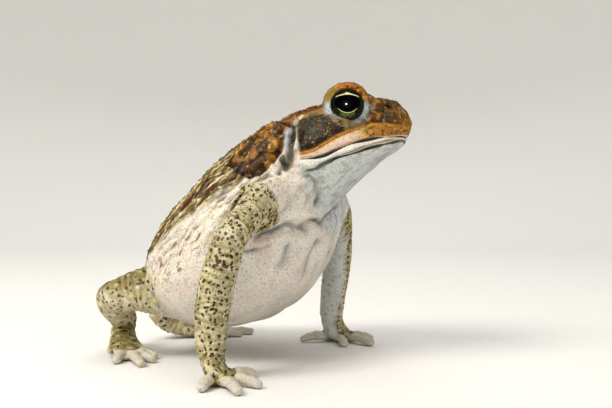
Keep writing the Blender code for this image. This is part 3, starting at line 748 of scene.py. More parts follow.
def zone_weights(points, normals):
    """How much of each warty region a point is in: back, glands, legs, brow."""
    trunk, share = height_on_trunk(points)
    head = mirrored_head(points)
    arm_gap, arm_run = limb_view(points, "arm")
    leg_gap, leg_run = limb_view(points, "leg")
    arm = (1 - ramp(arm_gap, 1.2, 1.5)) * ramp(arm_run, 9, 14)
    leg = (1 - ramp(leg_gap, 1.2, 1.5)) * ramp(leg_run, 12, 18)
    gland = np.zeros(len(points))
    for middle, axes, radii in glands:
        local = (points - middle) @ axes
        gland = np.maximum(gland, 1 - ramp(np.linalg.norm(local / radii, axis=1), 1.02, 1.22))
    on_head = ramp(head[:, 0], -5, -1)
    back = ramp(trunk, 0.12, 0.45) * (1 - on_head) * (1 - arm) * (1 - leg)
    brow = on_head * ramp(head[:, 2], 11, 16)
    return back, gland, np.maximum(arm, leg), brow


back, gland, legs, brow = zone_weights(points, normals)
clear_eye = ramp(eye_view(mirrored_head(points))[1], 1.15, 1.25)
wart_sets = []
for weight, spacing, tries, low, high, rise in (
    (back + 0.6 * gland, 3.1, 2600, 0.9, 1.9, 0.55),
    (back, 1.7, 6000, 0.45, 0.85, 0.28),
    (legs, 1.75, 5200, 0.5, 0.85, 0.2),
    (brow, 1.6, 1500, 0.4, 0.85, 0.25),
):
    weight = weight * (points[:, 2] > 2.5) * clear_eye + 1e-6
    picked, draw = scatter(points, weight, spacing, tries, WART_SEED + len(wart_sets))
    radii = draw.uniform(low, high, len(picked)) * draw.uniform(0.75, 1, len(picked))
    strength = np.clip(weight[picked], 0, 1)
    keep = strength > 0.15
    radii *= 0.6 + 0.4 * strength
    wart_sets.append((points[picked][keep], radii[keep], rise))
for middles, radii, rise in wart_sets:
    points += normals * (domes(points, middles, radii) * rise)[:, None]
points[:, 2] = np.maximum(points[:, 2], 0)
put_places(skin_mesh, points)

# Thinning the skin's mesh
# The worked mesh is finer than it has to be everywhere. Flat places give up faces first, so
# the folds, lids and warts keep theirs.
SKIN_TRIANGLES = 192000

skin = bpy.data.objects.new("skin", skin_mesh)
bpy.context.scene.collection.objects.link(skin)
corners = read(skin_mesh.polygons, "loop_total", 1, np.int32)
thinning = skin.modifiers.new("thin", "DECIMATE")
thinning.ratio = min(1, SKIN_TRIANGLES / float((corners - 2).sum()))
skin_mesh = bpy.data.meshes.new_from_object(skin.evaluated_get(bpy.context.evaluated_depsgraph_get()))
skin.modifiers.clear()
skin.data = skin_mesh
skin_mesh.name = "skin"
skin_mesh.shade_smooth()

# The markings
# Where each colour of the skin lies, kept on the mesh as a share from 0 to 1 for the finish
# to fill with a pattern. The thin lines of the lips are kept as the height off them, over
# LINE_REACH mm, so that they come out sharp.
LINE_REACH = 8
points = places(skin_mesh)
normals = normals_of(skin_mesh)
edges = read(skin_mesh.edges, "vertices", 2, np.int32)
count = np.maximum(np.bincount(edges.ravel(), minlength=len(points)), 1)
bend = np.sum((neighbour_mean(points, edges, count) - points) * normals, axis=1)
for _ in range(2):
    bend = neighbour_mean(bend[:, None], edges, count)[:, 0]
back, gland, legs, brow = zone_weights(points, normals)
trunk, trunk_share = height_on_trunk(points)
head = mirrored_head(points)
height, edge = eye_view(head)
edge = np.where(np.linalg.norm(head - EYE_CENTRE, axis=1) < 10, edge, 3)
mouth, ridge, chin, share = lip_view(head, normals)
z = head[:, 2]
arm_gap, arm_run = limb_view(points, "arm")
leg_gap, leg_run = limb_view(points, "leg")
on_face = ramp(head[:, 0], -3, 1)
upper = ramp(height, -0.1, 0.35)
across_drum, on_drum = drum_view(head)
tree = skin_tree(skin_mesh)
wavy = wobbled(points, 6, 0.35)


def painted(line, width, fade=0.12):
    """A stroke on both sides of the head, for colour."""
    lines = (laid(from_head(np.array(line) * (1, side, 1)), tree) for side in (1, -1))
    return sum(stroke(wavy, path, width, fade) for path in lines)


# The colour of each gland stops before its lower end.
gland_end = np.zeros(len(points))
for centre, axes, radii in glands:
    own = points - centre
    gland_end = np.where(np.linalg.norm(own, axis=1) < 24, ramp(own @ axes[:, 0], 4, 13), gland_end)

x = head[:, 0]
cheek = on_face * ramp(z - ridge, -0.4, 0.5) * (1 - ramp(z, 15.5, 17.5))
back_line = np.clip(0.2 + (0.66 - trunk_share) * 1.1, 0.14, 0.46)
outward = np.where(points[:, 1] > 0, 1, -1)
from_eye = np.linalg.norm(head - EYE_CENTRE, axis=1)
on_lid = ramp(edge, 0.9, 0.97)
marks = {
    "back": ramp(trunk - back_line, -0.2, 0.24) * (1 - ramp(x, -6, -1)) * (1 - legs),
    "inner": ramp(-normals[:, 1] * outward - 0.2 * normals[:, 0], 0.1, 0.6),
    "top": ramp(normals[:, 2], -0.1, 0.6),
    "nape": ramp(trunk_share, 0.78, 0.92) * ramp(trunk, 0.1, 0.5) * (1 - ramp(x, -5, 0)),
    "flank": bell(trunk - 0.05, 0.3) * ramp(trunk_share, 0.08, 0.35) * (1 - legs),
    "gland_foot": gland * (1 - legs) * ramp(gland_end, -0.1, 0.5),
    "gland": gland * (1 - legs) * (1 - ramp(gland_end, 0.35, 0.8)),
    "arm": (1 - ramp(arm_gap, 1.2, 1.55)) * ramp(arm_run, 8, 17),
    "leg": (1 - ramp(leg_gap, 1.2, 1.5)) * ramp(leg_run, 10, 20),
    "digit": on_digits(points, 2.3, 3.4, 0.08, 0.5),
    "crown": ramp(z, 12.5, 16.5) * ramp(x, -7, -2),
    "cheek": cheek,
    "mask": cheek * (1 - ramp(x, 12.5, 17)) * (1 - ramp(z, 13, 15.5)),
    "loreal": cheek * ramp(x, 17, 22),
    "drum": (1 - ramp(across_drum, 0.8, 1.15)) * on_drum,
    "lips": share,
    "ridge_off": 0.5 + (z - ridge) / LINE_REACH,
    "mouth_off": 0.5 + (z - mouth) / LINE_REACH,
    "chin_off": 0.5 + (z - chin) / LINE_REACH,
    "lip": ramp(z, mouth - 0.1, mouth + 0.4) * (1 - ramp(z, ridge + 0.1, ridge + 0.9)) * share,
    "lip_fore": ramp(x, 15, 25) * share,
    "under_lip": ramp(z, chin + 0.3, chin + 1) * (1 - ramp(z, mouth - 0.6, mouth - 0.1)) * share,
    "chin": share * ramp(x, 4, 11),
    "chin_edge": share * ramp(x, 14, 20),
    "throat": (ramp(mouth - z, 0, 3) * ramp(x, -5, 1) * ramp(z, -34, -24)
               * (1 - ramp(arm_run, 6, 12) * (arm_gap < 1.6))),
    "lid_rear": ramp((EYE_CENTRE - head) @ eye_ahead, 1.5, 5.5),
    "upper_lid": (1 - ramp(edge, 1.4, 1.65)) * upper * on_lid,
    "lower_lid": (1 - ramp(edge, 1.28, 1.5)) * (1 - upper) * on_lid * (1 - ramp(from_eye, 7.6, 8.5)),
    "under_eye": (1 - ramp(edge, 1.6, 2.1)) * (1 - upper) * (1 - ramp(from_eye, 9.5, 12)),
    "strip": painted(((-3.6, 19.8, 12.6), (-4.8, 21.6, 9.2), (-5.8, 23, 6), (-6.9, 24.2, 1.8)), 1.35, 0.2),
    # A dark stroke of painted shade along the groove behind the ear drum.
    "shade_behind_drum": painted(((1, 18.2, 15.2), (-1.8, 20.4, 12.4), (-2.8, 22.2, 8), (-4.6, 23.6, 3),
                       (-7.2, 25, -1.5), (-8.8, 25.8, -3.6)), 1.35, 0.25),
    # A dark stroke of painted shade in the crease where the groove behind the ear drum ends.
    "notch_shade": painted(((-6, 24, 3.4), (-7.2, 24.9, 0), (-8.4, 25.4, -3.4)), 1.5, 0.35),
    "knob": painted(((2.4, 17.4, 16.2), (0.4, 18, 15.6), (-1.6, 18.6, 14.6)), 1, 0.2),
    "snout": blob(head, (34.5, 0, 8), (5, 9, 6)),
    # The nostril's opening, which the finish fills with painted shade.
    "nostril": blob(head, NOSTRIL, (1.3, 1.3, 1)),
    "nostril_edge": blob(head, NOSTRIL, (3.2, 3.2, 2.4)),
    # Where the skin bends inwards: the finish paints shade into these folds.
    "shaded_fold": np.clip(bend / 0.05, 0, 1),
    # Where the skin bends outwards: the finish paints a highlight onto these ridges.
    "lit_crest": np.clip(-bend / 0.05, 0, 1) * (1 - 0.9 * on_face),
    "wart": np.maximum(domes(points, *wart_sets[0][:2]), 0.6 * domes(points, *wart_sets[1][:2])),
}
for name, values in marks.items():
    layer = skin_mesh.attributes.new(name, "FLOAT", "POINT")
    layer.data.foreach_set("value", np.clip(values, 0, 1).astype(np.float32))


# The finishes
# Skin, eyes and card get their colour, gloss and fine relief from nodes. The masks that say
# where a colour goes are sums and products, so a Wire lets them be written as such.
class Wire:
    """A socket of a finish. Arithmetic on it adds Math nodes, so that a mask is written as it is said."""

    def __init__(self, tree, socket=None):
        self.tree = tree
        self.socket = socket

    def make(self, kind, inputs, settings=(), out=0):
        """A node of a kind: its settings first, then a number, colour or wire for each named socket."""
        node = self.tree.nodes.new("ShaderNode" + kind)
        for key, value in dict(settings).items():
            setattr(node, key, value)
        for key, value in inputs.items():
            if isinstance(value, Wire):
                self.tree.links.new(value.socket, node.inputs[key])
            else:
                node.inputs[key].default_value = value
        return Wire(self.tree, node.outputs[out])

    def math(self, operation, *values):
        return self.make("Math", dict(enumerate(values)), {"operation": operation})

    def vector(self, operation, *values, out=0):
        return self.make("VectorMath", dict(enumerate(values)), {"operation": operation}, out)

    def scaled(self, place, factor):
        return self.make("VectorMath", {0: place, 3: factor}, {"operation": "SCALE"})

    def stretched(self, place, way, share):
        """A place with its run along a way cut by a share, so that patterns come out long that way."""
        run = self.vector("DOT_PRODUCT", place, tuple(way), out=1)
        run = self.make("CombineXYZ", {"X": run, "Y": run, "Z": run})
        return self.vector("MULTIPLY_ADD", run, tuple(way * -share), place)

    def above(self, low, high):
        """A soft threshold: 0 below low, 1 above high."""
        return self.make("MapRange", {"Value": self, "From Min": low, "From Max": high},
                         {"interpolation_type": "SMOOTHSTEP"})

    def near(self, inner, outer):
        """1 where the value is close to 0 and 0 from the outer distance on, on both sides."""
        return 1 - self.math("ABSOLUTE", self).above(inner, outer)

    def mark(self, name, out=2):
        """A share painted on the mesh."""
        return self.make("Attribute", {}, {"attribute_name": name}, out)

    def noise(self, place, size, detail=2, rough=0.5, out=0):
        """Cloudy noise from 0 to 1 with lumps of a size in mm (out 0), or three such noises (out 1)."""
        inputs = {"Vector": place, "Scale": 1 / size, "Detail": detail, "Roughness": rough}
        return self.make("TexNoise", inputs, out=out)

    def clouds(self, place, size, low, high, detail=2, rough=0.5):
        """Soft patches where the noise is high: none below low, whole above high."""
        return self.noise(place, size, detail, rough).above(low, high)

    def cells(self, place, size, out=0, feature="F1"):
        """Cells of a size in mm: 0 at each middle (out 0), or one random colour for a cell (out 1)."""
        return self.make("TexVoronoi", {"Vector": place, "Scale": 1 / size}, {"feature": feature}, out)

    def spots(self, place, size, low, high, share):
        """Round spots, each near a cell's middle and fading from low to high, in a share of the cells."""
        chance = self.make("SeparateColor", {"Color": self.cells(place, size, 1)})
        chosen = 1 - chance.above(share - 0.02, share + 0.02)
        return (1 - self.cells(place, size).above(low, high)) * chosen

    def mix(self, first, second, share, way="MIX"):
        """A colour between two."""
        settings = {"data_type": "RGBA", "blend_type": way}
        return self.make("Mix", {0: share, 6: first, 7: second}, settings, 2)

    def layers(self, colour, *coats):
        """A colour with coats over it, from the lowest up: each a colour and the share it covers."""
        for coat, share in coats:
            colour = self.mix(colour, coat, share)
        return colour


for sign, operation in (("add", "ADD"), ("sub", "SUBTRACT"), ("mul", "MULTIPLY"), ("truediv", "DIVIDE"),
                        ("pow", "POWER")):
    setattr(Wire, f"__{sign}__", lambda wire, other, kind=operation: wire.math(kind, wire, other))
    setattr(Wire, f"__r{sign}__", lambda wire, other, kind=operation: wire.math(kind, other, wire))


def tint(red, green, blue):
    """A colour given as it is seen, from 0 to 255, made linear for the finish."""
    seen = np.array((red, green, blue)) / 255
    linear = np.where(seen <= 0.04045, seen / 12.92, ((seen + 0.055) / 1.055) ** 2.4)
    return (*linear.tolist(), 1)


def new_finish(name, **constants):
    """A material with one Principled shader, its constant values set, and a Wire to build with."""
    material = bpy.data.materials.new(name)
    material.use_nodes = True
    tree = material.node_tree
    tree.nodes.clear()
    shader = tree.nodes.new("ShaderNodeBsdfPrincipled")
    result = tree.nodes.new("ShaderNodeOutputMaterial")
    tree.links.new(shader.outputs[0], result.inputs["Surface"])
    for key, value in constants.items():
        shader.inputs[key.replace("_", " ")].default_value = value
    return material, Wire(tree), shader


def plug(shader, wire, socket):
    """Puts a wire's end into the shader's socket."""
    wire.tree.links.new(wire.socket, shader.inputs[socket])


def rough_up(wire, height, distance, strength):
    """A bump whose height is read in metres times the distance."""
    return wire.make("Bump", {"Height": height, "Distance": distance, "Strength": strength})


# The finish of the skin
# Dry skin with little shine that lets some light in. The patterns are clouds, cells and
# round spots, sized in mm. On the flanks they are drawn out along the slanting ridges.
BELLY, BELLY_BLUE = tint(232, 224, 210), tint(190, 198, 202)
OLIVE_DARK, STREAK = tint(72, 58, 26), tint(220, 204, 160)
SPOT, SPOT_RIM = tint(104, 50, 18), tint(42, 22, 10)
GLAND_LIGHT, GLAND_BLOTCH = tint(222, 178, 88), tint(44, 22, 8)
ARM, ARM_OLIVE = tint(200, 188, 138), tint(132, 116, 56)
RIDGE = tint(172, 114, 32)

skin_finish, w, shader = new_finish("toad_skin", Subsurface_Weight=0.12, Subsurface_Scale=0.0012, IOR=1.42,
                                    Specular_IOR_Level=0.2, Subsurface_Radius=(1, 0.55, 0.35))
place = w.scaled(w.make("TexCoord", {}, out=3), 1 / MM)
bent = w.vector("ADD", place, w.scaled(w.noise(place, 4, 1, out=1), 2.4))
streaky = w.stretched(bent, Vector(FLANK_WAY).normalized(), 0.72)
lumps = w.noise(place, 9, 3)
small = w.noise(place, 2.4, 3)
grain = w.noise(place, 0.5)
streaks = w.noise(streaky, 2.3, 3, 0.55)
# The fold mask carries painted shade into the folds, and the crest mask a painted highlight onto the
# ridges.
shaded_folds, lit_crests = w.mark("shaded_fold"), w.mark("lit_crest")

# Belly and flanks: cream, a little pink, with fine dark grains, and olive streaks higher up.
flank = w.mark("flank")
colour = w.layers(
    BELLY,
    (tint(226, 204, 192), lumps.above(0.42, 0.7) * 0.7),
    (BELLY_BLUE, small.above(0.45, 0.75) * 0.4),
    (tint(92, 80, 72), w.spots(place, 0.95, 0.18, 0.28, 0.9) * 0.65),
    (STREAK, flank * streaks.above(0.42, 0.6) * 0.4),
    (tint(148, 128, 80), flank * (1 - w.clouds(streaky, 1.4, 0.38, 0.46, 3, 0.6)) * 0.75),
    (tint(96, 60, 34), flank * w.spots(streaky, 2.6, 0.2, 0.32, 0.5) * 0.8),
)

# Back: olive, broken by pale streaks and rows of dark brown spots along the slanting ridges.
back = w.mark("back")
backs = w.layers(
    tint(122, 102, 50),
    (OLIVE_DARK, small.above(0.45, 0.7)),
    (STREAK, streaks.above(0.5, 0.62)),
    (GLAND_BLOTCH, (1 - w.clouds(streaky, 5.5, 0.36, 0.44)) * 0.8),
    (tint(84, 42, 18), w.spots(streaky, 3.4, 0.27, 0.38, 0.7)),
)
colour = w.mix(colour, backs, (back + (streaks - 0.5) * 0.9 * back.above(0.02, 0.3)).above(0.25, 0.6))

# Glands and nape: orange brown with golden and dark brown patches.
patches = w.layers(
    tint(140, 90, 26),
    (GLAND_LIGHT, w.clouds(bent, 2, 0.5, 0.66, 3) * 0.85),
    (GLAND_BLOTCH, (1 - w.clouds(bent, 4.6, 0.46, 0.55, 3, 0.6)) * 0.92),
    (GLAND_BLOTCH, w.mark("gland_foot").above(0.2, 0.9) * small.above(0.3, 0.5) * 0.9),
)
colour = w.layers(
    colour,
    (patches, (w.mark("nape") + (small - 0.5) * 0.8).above(0.35, 0.65) * 0.85),
    (patches, (w.mark("gland") + (small - 0.5) * 0.8).above(0.35, 0.6)),
)

# Arms: pale olive, closely set with red-brown spots, and pale on the inner side.
pale = w.layers(
    tint(210, 212, 206),
    (BELLY_BLUE, small),
    # Painted shade: the olive of the pale side gathers a little in the folds.
    (ARM_OLIVE, (small + shaded_folds * 0.3).above(0.52, 0.75) * 0.5),
)
arms = w.layers(
    ARM,
    (ARM_OLIVE, small.above(0.4, 0.66)),
    (ARM_OLIVE, w.clouds(place, 7, 0.42, 0.7) * 0.6),
    # Painted shade darkens the rings' folds, and a painted highlight lightens their crests.
    (ARM_OLIVE, shaded_folds * 0.7),
    (tint(236, 230, 204), lit_crests * 0.5),
    (SPOT_RIM, w.spots(place, 1.2, 0.2, 0.28, 0.8) * 0.7),
    (SPOT_RIM, w.spots(bent, 1.6, 0.33, 0.4, 0.97)),
    (SPOT, w.spots(bent, 1.6, 0.16, 0.27, 0.97)),
    (pale, w.mark("inner")),
)

# Hind legs: darker on top, with larger spots. Fingers and toes: pale, with a few brown spots.
leg_skin = w.layers(
    w.mix(ARM, BELLY, small.above(0.4, 0.7)),
    (w.mix(tint(134, 120, 66), ARM, small.above(0.45, 0.7)), w.mark("top") * 0.85 + 0.15),
    (SPOT_RIM, w.spots(bent, 2.2, 0.28, 0.36, 0.8) * 0.85),
    (SPOT, w.spots(bent, 2.2, 0.14, 0.24, 0.8) * 0.85),
)
digits = w.layers(
    tint(196, 194, 178),
    (tint(206, 196, 160), small.above(0.45, 0.65)),
    # Painted shade darkens the creases of fingers and toes.
    (ARM_OLIVE, shaded_folds * 0.6),
    (tint(132, 116, 80), w.spots(place, 1.1, 0.2, 0.32, 0.6) * 0.6),
)
colour = w.layers(
    colour,
    (arms, (w.mark("arm") + (small - 0.5) * 0.5).above(0.3, 0.7)),
    (leg_skin, w.mark("leg")),
    (digits, (w.mark("digit") + (small - 0.5) * 1.2).above(0.35, 1) * 0.8),
)

# Head: grey-white throat, red-brown crown and cheek, and a mottled patch before the eye.
throat = w.layers(
    tint(214, 216, 212),
    (tint(162, 172, 174), small.above(0.4, 0.75)),
    (tint(128, 134, 132), w.spots(place, 0.8, 0.18, 0.3, 0.8) * 0.35),
)
crown = w.layers(
    tint(146, 90, 32),
    (tint(92, 42, 18), lumps.above(0.45, 0.6)),
    (GLAND_LIGHT, small.above(0.52, 0.68) * 0.8),
    (OLIVE_DARK, w.spots(bent, 2.2, 0.2, 0.35, 0.4) * 0.7),
)
loreal = w.layers(
    tint(92, 50, 24),
    (tint(160, 112, 46), small.above(0.46, 0.62)),
    (tint(64, 60, 36), w.clouds(bent, 2.8, 0.5, 0.6) * 0.9),
    (tint(158, 166, 168), w.clouds(bent, 2.2, 0.62, 0.7, 1) * 0.7),
)
colour = w.layers(
    colour,
    (throat, w.mark("throat")),
    (crown, w.mark("crown")),
    (w.mix(tint(150, 118, 62), tint(104, 80, 42), small.above(0.4, 0.65)), w.mark("cheek")),
    (loreal, w.mark("loreal")),
    (tint(44, 42, 28), w.mark("nostril_edge") * (small + 0.12).above(0.35, 0.6)),
)

# A granular dark mask lies round the ear drum, and the tip of the snout is orange brown.
mask_grain = w.cells(place, 0.56, feature="SMOOTH_F1").above(0.42, 0.66) * w.clouds(place, 3.2, 0.34, 0.7)
snout = w.layers(
    tint(172, 108, 26),
    (tint(84, 48, 20), small.above(0.46, 0.58) * 0.85),
    (tint(220, 176, 88), w.clouds(bent, 1.6, 0.54, 0.66) * 0.75),
)
colour = w.layers(
    colour,
    (w.mix(tint(54, 42, 28), tint(150, 128, 86), mask_grain),
     (w.mark("mask") + (small - 0.5) * 0.6).above(0.25, 0.6)),
    # Painted shade: dark olive in the groove behind the ear drum.
    (tint(66, 70, 42), w.mark("shade_behind_drum").above(0.15, 0.8) * 0.85),
    (w.mix(tint(40, 40, 26), tint(84, 82, 52), small.above(0.45, 0.65)), w.mark("drum") * 0.85),
    # Painted shade: dark olive in the crease at the low end of that groove.
    (tint(58, 54, 24), w.mark("notch_shade").above(0.25, 0.8) * 0.9),
    (tint(222, 208, 176), w.mark("knob").above(0.3, 0.8) * 0.8),
    (tint(182, 188, 200), w.mark("strip").above(0.25, 0.95) * 0.85),
    (snout, w.mark("snout") * w.mark("cheek") * 0.85),
)

# Lips: an orange ridge over a pink band that turns yellow-brown to the front; a white lower lip.
fore = w.mark("lip_fore")
lips = w.mark("lips")
ridge_off, mouth_off, chin_off = ((w.mark(name) - 0.5) * LINE_REACH
                                  for name in ("ridge_off", "mouth_off", "chin_off"))
wander = (small - 0.5) * 0.5
band = w.layers(
    tint(234, 206, 172),
    (tint(216, 184, 178), small.above(0.45, 0.7)),
    (tint(212, 176, 100), fore.above(0.1, 0.7)),
    (tint(160, 98, 36), (fore + (small - 0.5) * 0.8).above(0.6, 0.95) * 0.85),
    (tint(214, 166, 70), fore * w.clouds(bent, 1.9, 0.55, 0.64) * 0.8),
    (tint(98, 52, 18), fore * (1 - w.clouds(bent, 1.5, 0.38, 0.45)) * 0.85),
)
rim = w.layers(
    RIDGE,
    (tint(150, 86, 26), small.above(0.5, 0.7)),
    (tint(196, 152, 58), fore * small.above(0.4, 0.6)),
    (tint(112, 60, 20), w.clouds(bent, 1.3, 0.58, 0.66) * 0.8),
)
colour = w.layers(
    colour,
    (band, w.mark("lip").above(0.2, 0.7)),
    (RIDGE, (mouth_off - 0.5 + wander).near(0.1, 0.3) * lips.above(0.3, 0.7) * 0.75),
    (rim, (ridge_off - fore * 0.4 + wander).near(0.45, 0.95) * lips.above(0.1, 0.5)),
    (tint(226, 224, 212), w.mark("under_lip")),
    (tint(70, 62, 24), (chin_off + wander - 0.1).near(0.4, 0.8) * w.mark("chin") * 0.95),
    (RIDGE, (chin_off - 0.95 + wander).near(0.1, 0.35) * w.mark("chin_edge") * 0.8),
    # Painted shade: a near-black line in the groove of the mouth.
    (tint(38, 22, 14), mouth_off.near(0.1, 0.24) * lips.above(0.15, 0.6)),
)

# Lids: orange brown above, pale blue-grey with black dots below.
lids = w.layers(
    tint(172, 106, 34),
    (tint(206, 148, 72), w.clouds(bent, 1.7, 0.54, 0.62) * 0.8),
    (tint(74, 40, 14), (1 - w.clouds(bent, 1.3, 0.42, 0.5)) * 0.85),
    (tint(132, 120, 34), w.mark("lid_rear") * (0.45 + small * 0.5)),
)
colour = w.layers(
    colour,
    (lids, w.mark("upper_lid")),
    (tint(198, 178, 150), w.mark("under_eye") * small.above(0.35, 0.6) * 0.45),
    (w.mix(tint(186, 198, 198), tint(16, 14, 12), w.spots(place, 1.9, 0.24, 0.3, 0.35)),
     w.mark("lower_lid")),
    # Painted shade: the nostril's opening is near black.
    (tint(30, 22, 16), w.mark("nostril").above(0.3, 0.7)),
)

# Fine brown and yellow grains cover the brown parts of the head.
brown = (w.mark("crown") + w.mark("loreal") + w.mark("upper_lid")
         + lips.above(0.1, 0.5) * (ridge_off - fore * 0.4).near(0.8, 1.2)).above(0.2, 0.8)
brown = brown * (1 - w.mark("mask") * 0.7) * (1 - w.mark("lower_lid"))
colour = w.layers(
    colour,
    (tint(228, 176, 86), brown * w.spots(place, 0.95, 0.16, 0.28, 0.45) * 0.55),
    (tint(58, 32, 14), brown * w.spots(bent, 0.85, 0.2, 0.32, 0.6) * 0.65),
)

# Warts are browner at the top, folds get bluer, darker painted shade, ridges a paler painted highlight, and
# grains dot it all.
for change, amount, way, share in (
    (tint(206, 150, 84), 0.4, "MIX", w.mark("wart").above(0.5, 0.9) * back.above(0.2, 0.6)),
    (tint(92, 98, 100), 1, "MULTIPLY", shaded_folds * 0.8),
    (tint(255, 246, 228), 0.35, "MIX", lit_crests * 0.2),
    (tint(150, 140, 128), 1, "MULTIPLY", grain.above(0.45, 0.7) * 0.4),
):
    colour = w.mix(colour, w.mix(colour, change, amount, way), share)
plug(shader, colour, "Base Color")

# Fine wrinkles run along the jaw, under pebbles and granules of two sizes.
wrinkles = w.noise(w.stretched(place, Vector(head_axes[:, 0]), 0.8), 0.9) * w.mark("throat")
granules, pebbles = (w.cells(place, size, feature="SMOOTH_F1") for size in (0.62, 1.35))
height = (1 - granules) * 0.5 + (1 - pebbles) * 0.5 + grain * 0.25 + wrinkles * 1.6
plug(shader, rough_up(w, height, 0.00032, 0.9), "Normal")
plug(shader, 0.36 + grain * 0.2 + shaded_folds * 0.1 - lit_crests * 0.08, "Roughness")
skin_mesh.materials.clear()
skin_mesh.materials.append(skin_finish)

low, high = (np.array(corner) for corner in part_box("eye_right"))
shift = (low + high) / 2 - from_head(EYE_BALL * (1, -1, 1)) * MM
skin_mesh.transform(Matrix.Translation(Vector(shift)))
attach(skin, "root")
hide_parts(*(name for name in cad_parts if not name.startswith("eye")))

# The eyes
# Big wet balls behind the lids, nearly black. A gold band arches over the oval pupil, a thin
# gold line runs under it, and gold flecks lie in the dark iris round them.
PUPIL = (4.5, 2.95)
EYE_STEPS = 72
EYE_BULGE = 0.02

eye_finish, w, shader = new_finish("toad_eye", Coat_Weight=1, Coat_Roughness=0.02, Coat_IOR=1.33,
                                   Roughness=0.3, Specular_IOR_Level=0.05)
gaze = w.mark("gaze", 1)
ahead, up = (w.make("SeparateXYZ", {0: gaze}, out=axis) for axis in (0, 1))
ring = ((ahead / PUPIL[0]) * (ahead / PUPIL[0]) + (up / PUPIL[1]) * (up / PUPIL[1])) ** 0.5
disc = (ahead * ahead + up * up) ** 0.5
flecks = w.noise(gaze, 0.3, 2, 0.7)
threads = w.noise(gaze, 0.8, 3, 0.7)
aside = ahead * ahead

# The gold band over the pupil: an arch with a peak in the middle.
arch = 2.85 - aside * 0.035
peak, swell = (w.math("EXPONENT", 0 - aside * fall) for fall in (1.1, 0.16))
top = arch + 0.26 + peak * 0.5 + swell * 0.3
band = (up - arch).above(-0.06, 0.06) * (1 - (up - top).above(-0.08, 0.08)) * (1 - aside.above(14.5, 18))

# The thin gold line under it, with green flecks below.
sag = aside * 0.14 - 3.4
line = (up - sag).above(-0.2, -0.08) * (1 - (up - sag).above(0.04, 0.14)) * (1 - aside.above(9, 14))
below = (sag - up).above(0.2, 0.4) * (1 - (sag - up).above(0.9, 1.9)) * (1 - aside.above(5, 8))
colour = w.layers(
    tint(7, 9, 8),
    (tint(78, 88, 46), flecks.above(0.54, 0.64) * (1 - disc.above(5.2, 5.8)) * 0.5),
    (tint(52, 64, 52), threads.above(0.5, 0.7) * up.above(3, 4.2) * 0.8),
    (w.mix(tint(224, 214, 158), tint(158, 146, 76), threads.above(0.48, 0.72)), band),
    (tint(188, 172, 92), line),
    (tint(122, 146, 84), below * flecks.above(0.5, 0.58)),
    (tint(3, 3, 5), (1 - ring.above(0.97, 1.02)) * (1 - band) * (1 - line)),
)
plug(shader, colour, "Base Color")
plug(shader, rough_up(w, threads, 0.0001, 0.3), "Normal")

eyes = []
for side, word in ((1, "left"), (-1, "right")):
    v = np.linspace(0, math.pi, EYE_STEPS)[1:-1, None]
    u = np.linspace(0, 2 * math.pi, EYE_STEPS * 2, endpoint=False) * side
    bulge = 1 + EYE_BULGE * bell(v, 0.55)
    ball = np.stack([np.sin(v) * np.cos(u), np.sin(v) * np.sin(u), np.cos(v) + 0 * u], axis=2)
    ball *= bulge[..., None]
    own = np.vstack([ball.reshape(-1, 3), [(0, 0, 1 + EYE_BULGE)], [(0, 0, -1)]]) * EYE_RADIUS
    turned = own @ np.stack([eye_ahead, eye_up, EYE_AXIS]) + EYE_CENTRE
    turned[:, 1] *= side
    eye_mesh = bpy.data.meshes.new("eyeball_" + word)
    faces = closed_loft(ball, ball[0, 0], ball[-1, 0])[1]
    eye_mesh.from_pydata((from_head(turned) * MM + shift).tolist(), [], faces)
    face_out(eye_mesh)
    layer = eye_mesh.attributes.new("gaze", "FLOAT_VECTOR", "POINT")
    layer.data.foreach_set("vector", own.astype(np.float32).ravel())
    eye_mesh.materials.append(eye_finish)
    eye_mesh.shade_smooth()
    eye = bpy.data.objects.new("eyeball_" + word, eye_mesh)
    bpy.context.scene.collection.objects.link(eye)
    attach(eye, "root")
    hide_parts("eye_" + word)
    eyes.append(eye)

# The floor
# One sheet of pale studio card: flat under the toad, and swept up far off on every side, so
# no edge or horizon shows behind the toad in the photograph's view.
FLAT_RADIUS, SWEEP_RADIUS, CARD_TOP = 0.75, 0.9, 2.4
CARD_SIDES = 96
radius = np.linspace(0, FLAT_RADIUS, 12)[1:]
turn = np.linspace(0, math.pi / 2, 24)[1:]
radius = np.concatenate([radius, FLAT_RADIUS + SWEEP_RADIUS * np.sin(turn), [FLAT_RADIUS + SWEEP_RADIUS]])
height = np.concatenate([np.zeros(11), SWEEP_RADIUS * (1 - np.cos(turn)), [CARD_TOP]])
angle = np.linspace(0, 2 * math.pi, CARD_SIDES, endpoint=False)
radius = radius[:, None]
rings = np.stack([radius * np.cos(angle), radius * np.sin(angle), height[:, None] + 0 * angle], axis=2)
points, faces = closed_loft(rings, (0, 0, 0), (0, 0, CARD_TOP))
card_mesh = bpy.data.meshes.new("studio_card")
card_mesh.from_pydata(points[:-1].tolist(), [], [face for face in faces if max(face) < len(points) - 1])
card_mesh.shade_smooth()
card_finish, w, shader = new_finish("pale_card", Roughness=0.8)
fibre = w.make("TexNoise", {"Vector": w.make("TexCoord", {}, out=3), "Scale": 260, "Detail": 3})
plug(shader, w.mix(tint(214, 212, 207), tint(222, 220, 216), fibre), "Base Color")
plug(shader, rough_up(w, fibre, 0.0002, 0.15), "Normal")
card_mesh.materials.append(card_finish)
card = bpy.data.objects.new("studio_card", card_mesh)
bpy.context.scene.collection.objects.link(card)

# The light
# A soft box high on the camera's left, a wide weak one on its right, one behind for the rim,
# one overhead for the card, and a small lamp by the lens that gives the eyes their spark.
CAMERA_TURN = math.radians(25)
back_way = Vector((math.sin(CAMERA_TURN), -math.cos(CAMERA_TURN), 0))
right_way = Vector((math.cos(CAMERA_TURN), math.sin(CAMERA_TURN), 0))
up_way = Vector((0, 0, 1))
middle = Vector((0, 0, 0.05))


def aimed(place, way):
    """Where a lamp or camera is that looks along a way."""
    return Matrix.Translation(place) @ way.to_track_quat("-Z", "Y").to_matrix().to_4x4()


